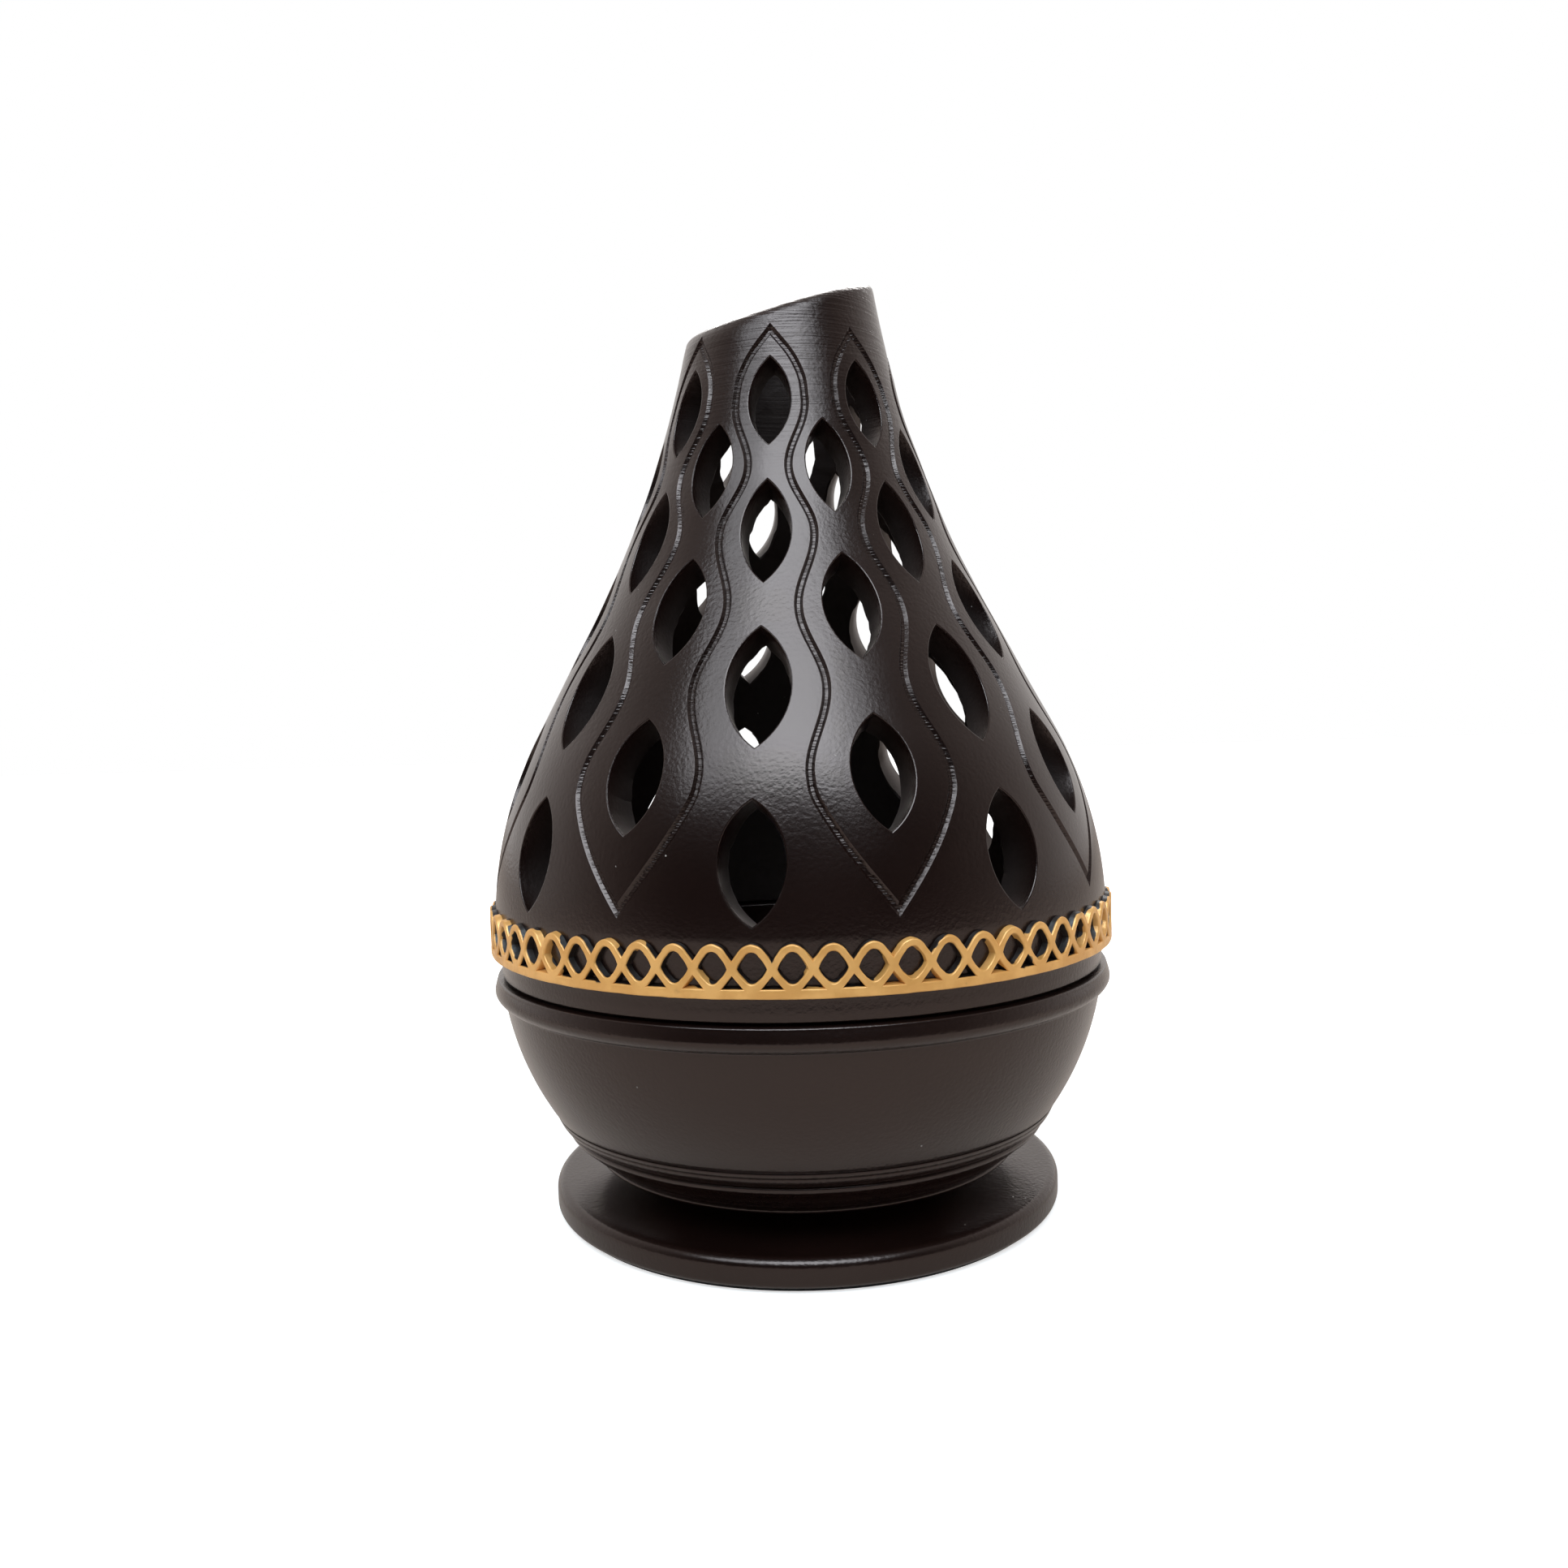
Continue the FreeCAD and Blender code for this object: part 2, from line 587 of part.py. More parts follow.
def grooveMiddle():
    # Points on the middle of one groove, from its upper to its lower point, as height and angle.
    halfStep = 180 / columnCount
    swings = [(number("%s + Row%sHeight" % (seat, name)), share) for name, share in grooveShares.items()]
    upper = number("%s + GrooveTopHeight" % seat)
    lower = number("%s + GrooveLowHeight" % seat)
    level, swing = swings[-1]
    points = [(upper + down * (level - upper), out * swing * halfStep) for down, out in grooveTopShares]
    for (nextLevel, nextSwing), (level, swing) in zip(swings[-2::-1], swings[:0:-1]):
        for part in range(1, 5):
            turn = (1 - math.cos(math.pi * part / 4)) / 2
            points.append((level + (nextLevel - level) * part / 4,
                           (swing + turn * (nextSwing - swing)) * halfStep))
    level, swing = swings[0]
    for down, out in grooveLowShares:
        points.append((level + down * (lower - level), (swing + out * (1 - swing)) * halfStep))
    return points


def grooveStrip(points):
    # The flat strip of one groove in front of the dome, to be cut straight back into it. Both ends run
    # on a little, so that the layer's own edges mitre them.
    middle = []
    for level, angle in points:
        radius = number(domeRadiusAt("(%.9f)" % level))
        middle.append(FreeCAD.Vector(radius * math.sin(math.radians(angle)), 0, level))
    overrun = number("GrooveWidth") * grooveOverrunShare
    middle.insert(0, middle[0] + (middle[0] - middle[1]).normalize() * overrun)
    middle.append(middle[-1] + (middle[-1] - middle[-2]).normalize() * overrun)
    line = Part.BSplineCurve()
    line.interpolate(middle)
    halfWidth = number("GrooveWidth") / 2
    borders = []
    steps = len(middle)
    for turn in (-1, 1):
        shifted = []
        for index in range(steps + 1):
            place = line.FirstParameter + (line.LastParameter - line.FirstParameter) * index / steps
            along = line.tangent(place)[0]
            across = FreeCAD.Vector(-along.z, 0, along.x)
            shifted.append(line.value(place) + across * halfWidth * turn)
        border = Part.BSplineCurve()
        border.interpolate(shifted)
        borders.append(border)
    lower = Part.LineSegment(borders[0].EndPoint, borders[1].EndPoint)
    upper = Part.LineSegment(borders[1].StartPoint, borders[0].StartPoint)
    outline = [borders[0], lower, borders[1], upper]
    return Part.Face(Part.Wire([side.toShape() for side in outline]))


def engravingShell(halfStep):
    # The thin layer of the dome's wall that the grooves take away, half a step of the columns wide.
    overrun = number("GrooveWidth") * grooveOverrunShare * 2
    levels = [number("%s + GrooveLowHeight" % seat) - overrun, number(slopeFoot), number(slopeTop),
              number("%s + GrooveTopHeight" % seat) + overrun]
    borders = []
    for inset in ("GrooveDepth", "-GrooveDepth"):
        border = []
        for index in range(3):
            low, high = levels[index], levels[index + 1]
            corners = [FreeCAD.Vector(0, -number(domeRadiusAt("(%.9f)" % level, inset)), level)
                       for level in (low, (low + high) / 2, high)]
            if index == 1:
                border.append(Part.LineSegment(corners[0], corners[2]).toShape())
            else:
                border.append(Part.Arc(*corners).toShape())
        borders.append(border)
    inner, outer = borders
    ends = [Part.LineSegment(inner[0].Vertexes[0].Point, outer[0].Vertexes[0].Point).toShape(),
            Part.LineSegment(inner[2].Vertexes[1].Point, outer[2].Vertexes[1].Point).toShape()]
    face = Part.Face(Part.Wire(Part.__sortEdges__(inner + outer + ends)))
    return face.revolve(FreeCAD.Vector(0, 0, 0), FreeCAD.Vector(0, 0, 1), halfStep)


def buildGrooves():
    # One groove is cut out of the layer, and its mirror image and the other columns repeat it.
    halfStep = 180 / columnCount
    strip = grooveStrip(grooveMiddle())
    strip.translate(FreeCAD.Vector(0, -2 * number("DomeRadius"), 0))
    prism = strip.extrude(FreeCAD.Vector(0, 2 * number("DomeRadius"), 0))
    groove = prism.common(engravingShell(halfStep))
    mirrored = groove.mirror(FreeCAD.Vector(0, 0, 0), FreeCAD.Vector(1, 0, 0))
    shapes = [groove, mirrored]
    for shape in shapes:
        shape.rotate(FreeCAD.Vector(0, 0, 0), FreeCAD.Vector(0, 0, 1), 90)
    grooves = document.addObject("Part::Feature", "groove_cutters")
    grooves.Shape = Part.makeCompound(shapes)
    return grooves


def cutFrom(base, tool, name):
    cut = document.addObject("Part::Cut", name)
    cut.Base = base
    cut.Tool = tool
    return cut


def buildLid():
    sector = cutFrom(buildDome(), buildGrooves(), "engraved_sector")
    ring = joinRound(sector, "pierced_dome", columnCount)
    opening = document.addObject("Part::Cylinder", "mouth_cutter")
    opening.setExpression("Radius", bind("DomeRadius"))
    opening.setExpression("Height", bind("CutReach"))
    slant = "placement(vector(0; 0; %s + MouthHeight); rotationz(MouthDirection) * rotationy(-MouthTilt))"
    opening.setExpression("Placement", bind(slant % seat))
    mouth = cutFrom(ring, opening, "open_dome")
    document.recompute()
    plane = opening.Placement.inverse()
    rim = []
    for index, edge in enumerate(mouth.Shape.Edges):
        heights = [abs(plane.multVec(point).z) for point in edge.discretize(9)]
        if max(heights) < planeTolerance:
            rim.append((index + 1, number("MouthRound"), number("MouthRound")))
    lid = document.addObject("Part::Fillet", "smoke_lid")
    lid.Base = mouth
    lid.Edges = rim
    lid.Label = "smoke_lid"
    return lid


def buildBand():
    inner = [domeRadiusAt(bandLevel), domeRadiusAt("(%s + BandHeight)" % bandLevel)]
    corners = [
        (inner[0], bandLevel),
        ("BandRadius", bandLevel),
        ("BandRadius", "%s + BandHeight" % bandLevel),
        (inner[1], "%s + BandHeight" % bandLevel),
    ]
    body = turnProfile("lattice_sector", corners, {3: "-ShoulderCurve"}, 360 / bandSectors)
    turn = 90 - 180 / bandSectors
    face = ("placement(vector(0; 0; 0); rotationy(%s))"
            " * placement(vector(0; %s; BandRadius + BandLift); rotationz(0))" % (turn, bandLevel))
    sketch = addSketch(body, "lattice_openings", "XZ_Plane", face)
    halfStep = "(BandRadius * sin(180 / %d))" % archCount

    low, waist, high = [("{w} * DiamondWidth / 2".format(w=across),
                         "DiamondRise + {s} * DiamondHeight".format(s=up)) for across, up in diamondShares]
    mirrored = [("-" + across, up) for across, up in (high, waist, low)]
    curve = ["{c} * DiamondWidth".format(c=share) for share in diamondCurveShares]
    drawOutline(sketch, [low, waist, high] + mirrored,
                {0: curve[1], 1: curve[2], 2: curve[3], 3: curve[2], 4: curve[1], 5: curve[0]})

    drawOutline(sketch, [(halfStep + " - TriangleBase / 2", "RailHeight"),
                         (halfStep + " + TriangleBase / 2", "RailHeight"),
                         (halfStep, "RailHeight + TriangleHeight")])

    archRise = "(BandHeight - ValleyRise)"
    archHalf = "(%s - ArchFlat)" % halfStep
    across, up = archShoulderShares
    outward = "{a} * {h}".format(a=across, h=archHalf)
    upward = "ValleyRise + {u} * {r}".format(u=up, r=archRise)
    over = "BandHeight + BandLift"
    sideways = "((1 - {a}) * {h})".format(a=across, h=archHalf)
    rise = "((1 - {u}) * {r})".format(u=up, r=archRise)
    arch = "-(({s} + ArchFlat) ^ 2 + {r} ^ 2) / (2 * {r})".format(s=sideways, r=rise)
    left = "%s - %s" % (halfStep, archHalf)
    right = "%s + %s" % (halfStep, archHalf)
    valley = [
        (halfStep, "ValleyRise"),
        ("%s + %s" % (halfStep, outward), upward),
        (right, "BandHeight"),
        (right, over),
        (left, over),
        (left, "BandHeight"),
        ("%s - %s" % (halfStep, outward), upward),
    ]
    drawOutline(sketch, valley, {1: arch, 5: arch})
    cut = cutPocket(body, sketch, "lattice_cut", "BandReach")
    repeatRound(body, cut, "lattice", archCount // bandSectors + 1, 360 / bandSectors)
    return joinRound(body, "lattice_band", bandSectors)


def checkAndWrite(parts):
    document.recompute()
    for item in document.Objects:
        if "Invalid" in item.State or "Error" in item.State:
            raise RuntimeError("%s failed: %s" % (item.Label, item.State))
    os.makedirs("parts", exist_ok=True)
    for part in parts:
        shape = part.Shape
        if shape.isNull() or not shape.isValid():
            raise RuntimeError("%s has no valid shape" % part.Label)
        counts = (part.Label, len(shape.Solids), len(shape.Faces), shape.Volume)
        print("%s: solids %d, faces %d, volume %.1f" % counts)
        shape.exportStep("parts/%s.step" % part.Label)


checkAndWrite([
    buildPad(),
    buildFoot(),
    buildScrew(),
    buildInsert(),
    buildBowl(),
    buildCup(),
    buildLid(),
    buildBand(),
])
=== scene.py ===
import bpy
import bmesh
import math
from mathutils import Matrix, Vector, kdtree, noise
from mathutils.geometry import delaunay_2d_cdt


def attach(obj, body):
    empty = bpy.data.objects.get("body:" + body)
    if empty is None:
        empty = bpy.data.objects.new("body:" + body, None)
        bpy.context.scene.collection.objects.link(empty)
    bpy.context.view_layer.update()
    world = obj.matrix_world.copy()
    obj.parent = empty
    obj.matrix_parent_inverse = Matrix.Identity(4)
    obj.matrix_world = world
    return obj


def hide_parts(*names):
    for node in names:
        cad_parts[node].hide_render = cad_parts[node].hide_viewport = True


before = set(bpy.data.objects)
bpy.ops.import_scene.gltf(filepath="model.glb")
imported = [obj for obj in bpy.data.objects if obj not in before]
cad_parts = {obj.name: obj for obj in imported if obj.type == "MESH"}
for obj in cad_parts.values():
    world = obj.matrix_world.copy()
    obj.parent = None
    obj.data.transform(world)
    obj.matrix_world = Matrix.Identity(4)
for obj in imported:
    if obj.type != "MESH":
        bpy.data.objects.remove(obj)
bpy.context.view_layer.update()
noise.seed_set(5)   # without a seed noise_vector shifts with the clock
print("frame loaded")

# Every new piece is drawn in millimetres and brought to metres when it is finished.
# Angles round the burner run from the front (-Y) towards +X.


def clearSelection():
    if bpy.context.object and bpy.context.object.mode != "OBJECT":
        bpy.ops.object.mode_set(mode="OBJECT")
    bpy.ops.object.select_all(action="DESELECT")


def pick(piece):
    clearSelection()
    piece.select_set(True)
    bpy.context.view_layer.objects.active = piece


def editAll():
    bpy.ops.object.mode_set(mode="EDIT")
    bpy.ops.mesh.select_all(action="SELECT")


def weld(distance):
    # Joins close vertices, turns the faces outwards and ends the edit.
    bpy.ops.mesh.select_all(action="SELECT")
    bpy.ops.mesh.remove_doubles(threshold=distance)
    bpy.ops.mesh.normals_make_consistent(inside=False)
    bpy.ops.object.mode_set(mode="OBJECT")


def smoothStep(value):
    value = min(max(value, 0), 1)
    return value * value * (3 - 2 * value)


def unevenAt(point, waves):
    return sum((noise.noise_vector(point * pace) * weight for pace, weight in waves), Vector())


def finishPiece(piece, material, nodes, body, creaseAngle):
    pick(piece)
    piece.data.transform(Matrix.Scale(0.001, 4))
    piece.data.materials.clear()
    piece.data.materials.append(material)
    bpy.ops.object.shade_smooth_by_angle(angle=math.radians(creaseAngle))
    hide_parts(*nodes)
    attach(piece, body)
    clearSelection()


def feed(tree, node, inputs):
    # Outputs are linked to the node's inputs; colours and numbers are set as their values.
    for name, value in inputs.items():
        socket = node.inputs[name]
        if isinstance(value, bpy.types.NodeSocket):
            tree.links.new(value, socket)
        else:
            socket.default_value = (*value, 1) if socket.type == "RGBA" else value


def addNode(tree, kind, inputs=None, **values):
    made = tree.nodes.new(kind)
    for key, value in values.items():
        setattr(made, key, value)
    feed(tree, made, inputs or {})
    return made


def addMath(tree, operation, *values):
    return addNode(tree, "ShaderNodeMath", dict(enumerate(values)), operation=operation).outputs[0]


def addNoise(tree, place, scale, detail=2.0, roughness=0.5):
    inputs = {"Vector": place, "Scale": scale, "Detail": detail, "Roughness": roughness}
    return addNode(tree, "ShaderNodeTexNoise", inputs).outputs["Fac"]


def addRange(tree, value, low, high, outLow=0.0, outHigh=1.0):
    inputs = {"Value": value, "From Min": low, "From Max": high, "To Min": outLow, "To Max": outHigh}
    return addNode(tree, "ShaderNodeMapRange", inputs, interpolation_type="SMOOTHSTEP").outputs["Result"]


def addPatches(tree, place, scale, low, high, detail=2.0, roughness=0.5):
    # Noise turned into patches: none below low, full above high.
    return addRange(tree, addNoise(tree, place, scale, detail, roughness), low, high)


def addStretch(tree, place, stretch):
    return addNode(tree, "ShaderNodeMapping", {"Vector": place, "Scale": stretch}).outputs["Vector"]


def addParts(tree, place):
    return addNode(tree, "ShaderNodeSeparateXYZ", {0: place}).outputs


def addRadius(tree, parts):
    squares = [addMath(tree, "POWER", parts[axis], 2.0) for axis in ("X", "Y")]
    return addMath(tree, "SQRT", addMath(tree, "ADD", *squares))


def addMix(tree, share, first, second):
    return addNode(tree, "ShaderNodeMix", {"Factor": share, 6: first, 7: second}, data_type="RGBA").outputs[2]


def addBump(tree, height, distance):
    inputs = {"Height": height, "Distance": distance, "Strength": 1.0}
    return addNode(tree, "ShaderNodeBump", inputs).outputs["Normal"]


def addGroup(name, numbers, outputs):
    # A group that takes a place and some numbers and puts out numbers.
    group = bpy.data.node_groups.new(name, "ShaderNodeTree")
    group.interface.new_socket("Place", in_out="INPUT", socket_type="NodeSocketVector")
    for label, number in numbers.items():
        socket = group.interface.new_socket(label, in_out="INPUT", socket_type="NodeSocketFloat")
        socket.default_value = number
    for label in outputs:
        group.interface.new_socket(label, in_out="OUTPUT", socket_type="NodeSocketFloat")
    return group, group.nodes.new("NodeGroupInput").outputs, group.nodes.new("NodeGroupOutput")


# A sprayed coat: soft orange peel, fine grain and a slow drift in tone.
coatGroup, given, made = addGroup(
    "sprayedCoat", {"Swell Scale": 420.0, "Peel Scale": 1950.0, "Swell": 0.10, "Peel": 0.55},
    ("Height", "Tone", "Patch"))
layers = [(addNoise(coatGroup, given["Place"], given[name + " Scale"]), given[name])
          for name in ("Swell", "Peel")]
feed(coatGroup, made, {
    "Height": addMath(coatGroup, "ADD", *(addMath(coatGroup, "MULTIPLY", *layer) for layer in layers)),
    "Tone": addPatches(coatGroup, given["Place"], 55.0, 0.3, 0.7, 3.0),
    "Patch": addPatches(coatGroup, given["Place"], 24.0, 0.3, 0.7),
})

# Dust: tiny pale specks that keep to some patches.
dustGroup, given, made = addGroup("dustSpecks", {"Speck Scale": 620.0, "Speck Size": 0.07}, ("Dust",))
cells = addNode(dustGroup, "ShaderNodeTexVoronoi", {"Vector": given["Place"], "Scale": given["Speck Scale"]})
speck = addMath(dustGroup, "LESS_THAN", cells.outputs["Distance"], given["Speck Size"])
cellTone = addNode(dustGroup, "ShaderNodeSeparateColor", {0: cells.outputs["Color"]}).outputs[0]
rare = addMath(dustGroup, "MULTIPLY", speck, addMath(dustGroup, "GREATER_THAN", cellTone, 0.93))
drift = addPatches(dustGroup, given["Place"], 30.0, 0.45, 0.6)
feed(dustGroup, made, {"Dust": addMath(dustGroup, "MULTIPLY", rare, drift)})


def startMaterial(name):
    material = bpy.data.materials.new(name)
    material.use_nodes = True
    tree = material.node_tree
    return material, tree, tree.nodes["Principled BSDF"], addNode(tree, "ShaderNodeTexCoord").outputs["Object"]


# Dark brown satin paint on the casting.
casting = {
    "dark": (0.0066, 0.0028, 0.0022),
    "warm": (0.0084, 0.0036, 0.0028),
    # painted shade: the darker colour laid on the inside of the dome
    "insideShade": (0.0050, 0.0018, 0.0014),
    "dust": (0.30, 0.28, 0.26),
    "gloss": (1.0, 0.82, 0.76),
    "roughness": (0.225, 0.26),
    "dustRoughness": 0.3,
    "insideRoughness": 0.34,    # added inside the dome, where the colour is darkened as painted shade
    "peelDepth": 0.000092,
    "patchy": (0.6, 0.4),       # the peel's share that drifts, and the share that stays
    "streaks": ((45, 45, 2400), (1.0, 0.35, 0.65, 3.0, 0.6)),   # stretch and noise of the sanding marks
    "streakHeight": 0.24,
    "streakFade": 0.028,
    "ticks": ((300, 300, 3400), (1.0, 0.35, 0.6, 1.0)),
    "tickHeight": 0.52,
}


def makeCasting(name, streakFoot=None):
    material, tree, shader, place = startMaterial(name)
    coat, dust = (addNode(tree, "ShaderNodeGroup", {"Place": place}, node_tree=group).outputs
                  for group in (coatGroup, dustGroup))
    colour = addMix(tree, coat["Tone"], casting["dark"], casting["warm"])
    rough = addRange(tree, coat["Tone"], 0.0, 1.0, *casting["roughness"])
    patchy = addMath(tree, "MULTIPLY_ADD", coat["Patch"], *casting["patchy"])
    height = addMath(tree, "MULTIPLY", coat["Height"], patchy)
    if streakFoot:
        # sanding marks run round the neck
        upper = addRange(tree, addParts(tree, place)["Z"], streakFoot, streakFoot + casting["streakFade"])
        stretch, marks = casting["streaks"]
        marks = addMath(tree, "MULTIPLY", addPatches(tree, addStretch(tree, place, stretch), *marks), upper)
        height = addMath(tree, "MULTIPLY_ADD", marks, casting["streakHeight"], height)
        # the cutter left fine ticks along the grooves
        cutter = addNode(tree, "ShaderNodeAttribute", attribute_name="groove").outputs["Fac"]
        stretch, ticks = casting["ticks"]
        ticks = addMath(tree, "MULTIPLY", addPatches(tree, addStretch(tree, place, stretch), *ticks), cutter)
        height = addMath(tree, "MULTIPLY_ADD", ticks, casting["tickHeight"], height)
        # inside the dome the colour is darkened as painted shade and the paint made duller
        inside = addNode(tree, "ShaderNodeAttribute", attribute_name="inside").outputs["Fac"]
        colour = addMix(tree, inside, colour, casting["insideShade"])
        rough = addMath(tree, "MULTIPLY_ADD", inside, casting["insideRoughness"], rough)
    feed(tree, shader, {
        "Base Color": addMix(tree, dust["Dust"], colour, casting["dust"]),
        "Specular Tint": casting["gloss"],
        "Roughness": addMath(tree, "MULTIPLY_ADD", dust["Dust"], casting["dustRoughness"], rough),
        "Normal": addBump(tree, height, casting["peelDepth"]),
    })
    return material


# Gold paint wiped over the raised lattice; its side walls keep the brown.
gilding = {
    "gold": (0.765, 0.405, 0.122),
    "deepGold": (0.64, 0.315, 0.082),
    "ground": (0.010, 0.006, 0.005),
    "level": (0.04624, 0.04636),    # the gold starts between these radii
    "spill": (170.0, 0.50, 0.66, 0.0012),       # noise: scale and range; how far a drip reaches down a side
    "missed": (330.0, 0.30, 0.40, 0.00022),
    "ragged": (1300.0, 0.00014),
    "wear": (240.0, 0.36, 0.66, 3.0),
    "grain": (2400.0, 700.0, 0.35),             # scales of the fine and coarse grain, share of the fine
    "metallic": 0.25,
    "roughness": (0.33, 0.48),
    "grainDepth": 0.00006,
}


def makeGilding():
    material, tree, shader, place = startMaterial("goldOnBrown")
    # the brush ran down some of the side walls and missed a few edges
    scale, low, high, reach = gilding["spill"]
    spill = addRange(tree, addNoise(tree, place, scale), low, high, 0.0, reach)
    scale, low, high, reach = gilding["missed"]
    missed = addRange(tree, addNoise(tree, place, scale), low, high, -reach, 0.0)
    scale, reach = gilding["ragged"]
    ragged = addMath(tree, "MULTIPLY", addNoise(tree, place, scale), reach)
    level = addMath(tree, "ADD", spill, addMath(tree, "ADD", missed, ragged))
    level = addMath(tree, "ADD", addRadius(tree, addParts(tree, place)), level)
    gold = addRange(tree, level, *gilding["level"])
    tint = addMix(tree, addPatches(tree, place, *gilding["wear"]), gilding["deepGold"], gilding["gold"])
    fineScale, coarseScale, share = gilding["grain"]
    fine = addNoise(tree, place, fineScale, 3.0)
    grain = addMath(tree, "MULTIPLY_ADD", fine, share, addNoise(tree, place, coarseScale))
    feed(tree, shader, {
        "Base Color": addMix(tree, gold, gilding["ground"], tint),
        "Metallic": addMath(tree, "MULTIPLY", gold, gilding["metallic"]),
        "Roughness": addRange(tree, fine, 0.3, 0.7, *gilding["roughness"]),
        "Normal": addBump(tree, grain, gilding["grainDepth"]),
    })
    return material


# Short matted fibres.
felt = {
    "dark": (0.012, 0.012, 0.013),
    "pale": (0.026, 0.025, 0.026),
    "roughness": 0.95,
    "sheen": 0.3,
    "fibres": ((1, 1, 3), (3200.0, 5.0, 0.7)),
    "clumps": (420.0, 0.3, 0.7, 3.0),
    "depth": 0.0003,
}


def makeFelt():
    material, tree, shader, place = startMaterial("darkFelt")
    stretch, fibres = felt["fibres"]
    fibres = addNoise(tree, addStretch(tree, place, stretch), *fibres)
    feed(tree, shader, {
        "Base Color": addMix(tree, addPatches(tree, place, *felt["clumps"]), felt["dark"], felt["pale"]),
        "Roughness": felt["roughness"],
        "Sheen Weight": felt["sheen"],
        "Normal": addBump(tree, fibres, felt["depth"]),
    })
    return material


# Metal with turned or rolled marks: material, bright and dull colour, roughness, share of soot.
metals = {
    "charcoal_cup": ("sootedSteel", (0.56, 0.55, 0.53), (0.09, 0.075, 0.06), 0.34, 0.8),
    "foot_screw": ("turnedSteel", (0.58, 0.58, 0.58), (0.30, 0.29, 0.28), 0.28, 0.5),
    "screw_insert": ("turnedBrass", (0.75, 0.53, 0.22), (0.42, 0.27, 0.10), 0.30, 0.6),
}
turning = {
    "marks": ((3800, 1, 3800), (1.0, 3.0, 0.6)),
    "stain": (130.0, 0.45, 0.75, 4.0, 0.6),
    "unevenRoughness": (-0.06, 0.08),
    "stainRoughness": 0.15,
    "depth": 0.00004,
}


def makeMetal(name, bright, dull, roughness, soot):
    material, tree, shader, place = startMaterial(name)
    parts = addParts(tree, place)
    turned = addNode(tree, "ShaderNodeCombineXYZ", {"X": addRadius(tree, parts), "Z": parts["Z"]}).outputs[0]
    stretch, marks = turning["marks"]
    marks = addNoise(tree, addStretch(tree, turned, stretch), *marks)
    stain = addPatches(tree, place, *turning["stain"])
    rough = addRange(tree, marks, 0.3, 0.7, *(roughness + step for step in turning["unevenRoughness"]))
    feed(tree, shader, {
        "Base Color": addMix(tree, addMath(tree, "MULTIPLY", stain, soot), bright, dull),
        "Metallic": 1.0,
        "Roughness": addMath(tree, "MULTIPLY_ADD", stain, turning["stainRoughness"], rough),
        "Normal": addBump(tree, marks, turning["depth"]),
    })
    return material


castingPaint = makeCasting("brownCasting")
domePaint = makeCasting("brownDome", streakFoot=0.096)
goldPaint = makeGilding()
innerPaints = {"felt_pad": makeFelt(), **{name: makeMetal(*metal) for name, metal in metals.items()}}
print("materials made")


def arcPoints(start, end, radius, steps):
    # Points after start up to end on an arc, bulging to the right of the way for a positive radius.
    start, end = Vector(start), Vector(end)
    chord = end - start
    rightward = Vector((chord.y, -chord.x)).normalized()
    setBack = math.sqrt(max(radius ** 2 - (chord.length / 2) ** 2, 0))
    centre = (start + end) / 2 - rightward * math.copysign(setBack, radius)
    first = math.atan2(start.y - centre.y, start.x - centre.x)
    last = math.atan2(end.y - centre.y, end.x - centre.x)
    turn = (last - first + math.pi) % (2 * math.pi) - math.pi
    return [(centre.x + abs(radius) * math.cos(first + turn * step / steps),
             centre.y + abs(radius) * math.sin(first + turn * step / steps))
            for step in range(1, steps + 1)]


def spinProfile(name, corners, steps=160):
    # corners: (radius, height) or (radius, height, arc radius, arc steps) for an arc that ends there.
    points = [corners[0][:2]]
    for corner in corners[1:]:
        if len(corner) == 2:
            points.append(corner)
        else:
            points.extend(arcPoints(points[-1], corner[:2], corner[2], corner[3]))
    clearSelection()
    bpy.ops.mesh.primitive_plane_add(size=1)
    piece = bpy.context.object
    piece.name = name
    editAll()
    bpy.ops.mesh.merge(type="CENTER")
    bpy.ops.transform.translate(value=(points[0][0], 0, points[0][1]))
    for start, end in zip(points, points[1:]):
        bpy.ops.mesh.extrude_vertices_move(
            TRANSFORM_OT_translate={"value": (end[0] - start[0], 0, end[1] - start[1])})
    editAll()
    bpy.ops.mesh.spin(steps=steps, angle=2 * math.pi, center=(0, 0, 0), axis=(0, 0, 1))
    weld(0.001)
    return piece


foot = {
    "radius": 38.2,
    "base": 0.6,
    "rimTop": 4.5,
    "seat": 5.3,
    "seatRadius": 23.5,
    "dishCurve": 48.0,
    "topRound": 1.3,
    "lowRound": 0.8,
    "screwSink": 4.2,
    "screwBore": 2.2,
    "middle": (20.0, 10.0),     # a ring of vertices below and above, so that no face is too long
}


def makeFoot():
    size = foot
    radius, base, seat, bore = size["radius"], size["base"], size["seat"], size["screwBore"]
    low, top = size["lowRound"], size["topRound"]
    sinkTop = base + size["screwSink"] - bore
    finishPiece(spinProfile("turnedFoot", [
        (bore, sinkTop),
        (size["screwSink"], base),
        (size["middle"][0], base),
        (radius - low, base),
        (radius, base + low, low, 6),
        (radius, size["rimTop"] - top),
        (radius - top, size["rimTop"], top, 10),
        (size["seatRadius"], seat, -size["dishCurve"], 14),
        (size["middle"][1], seat),
        (bore, seat),
        (bore, sinkTop),
    ]), castingPaint, ["foot_disc"], "base", 40)


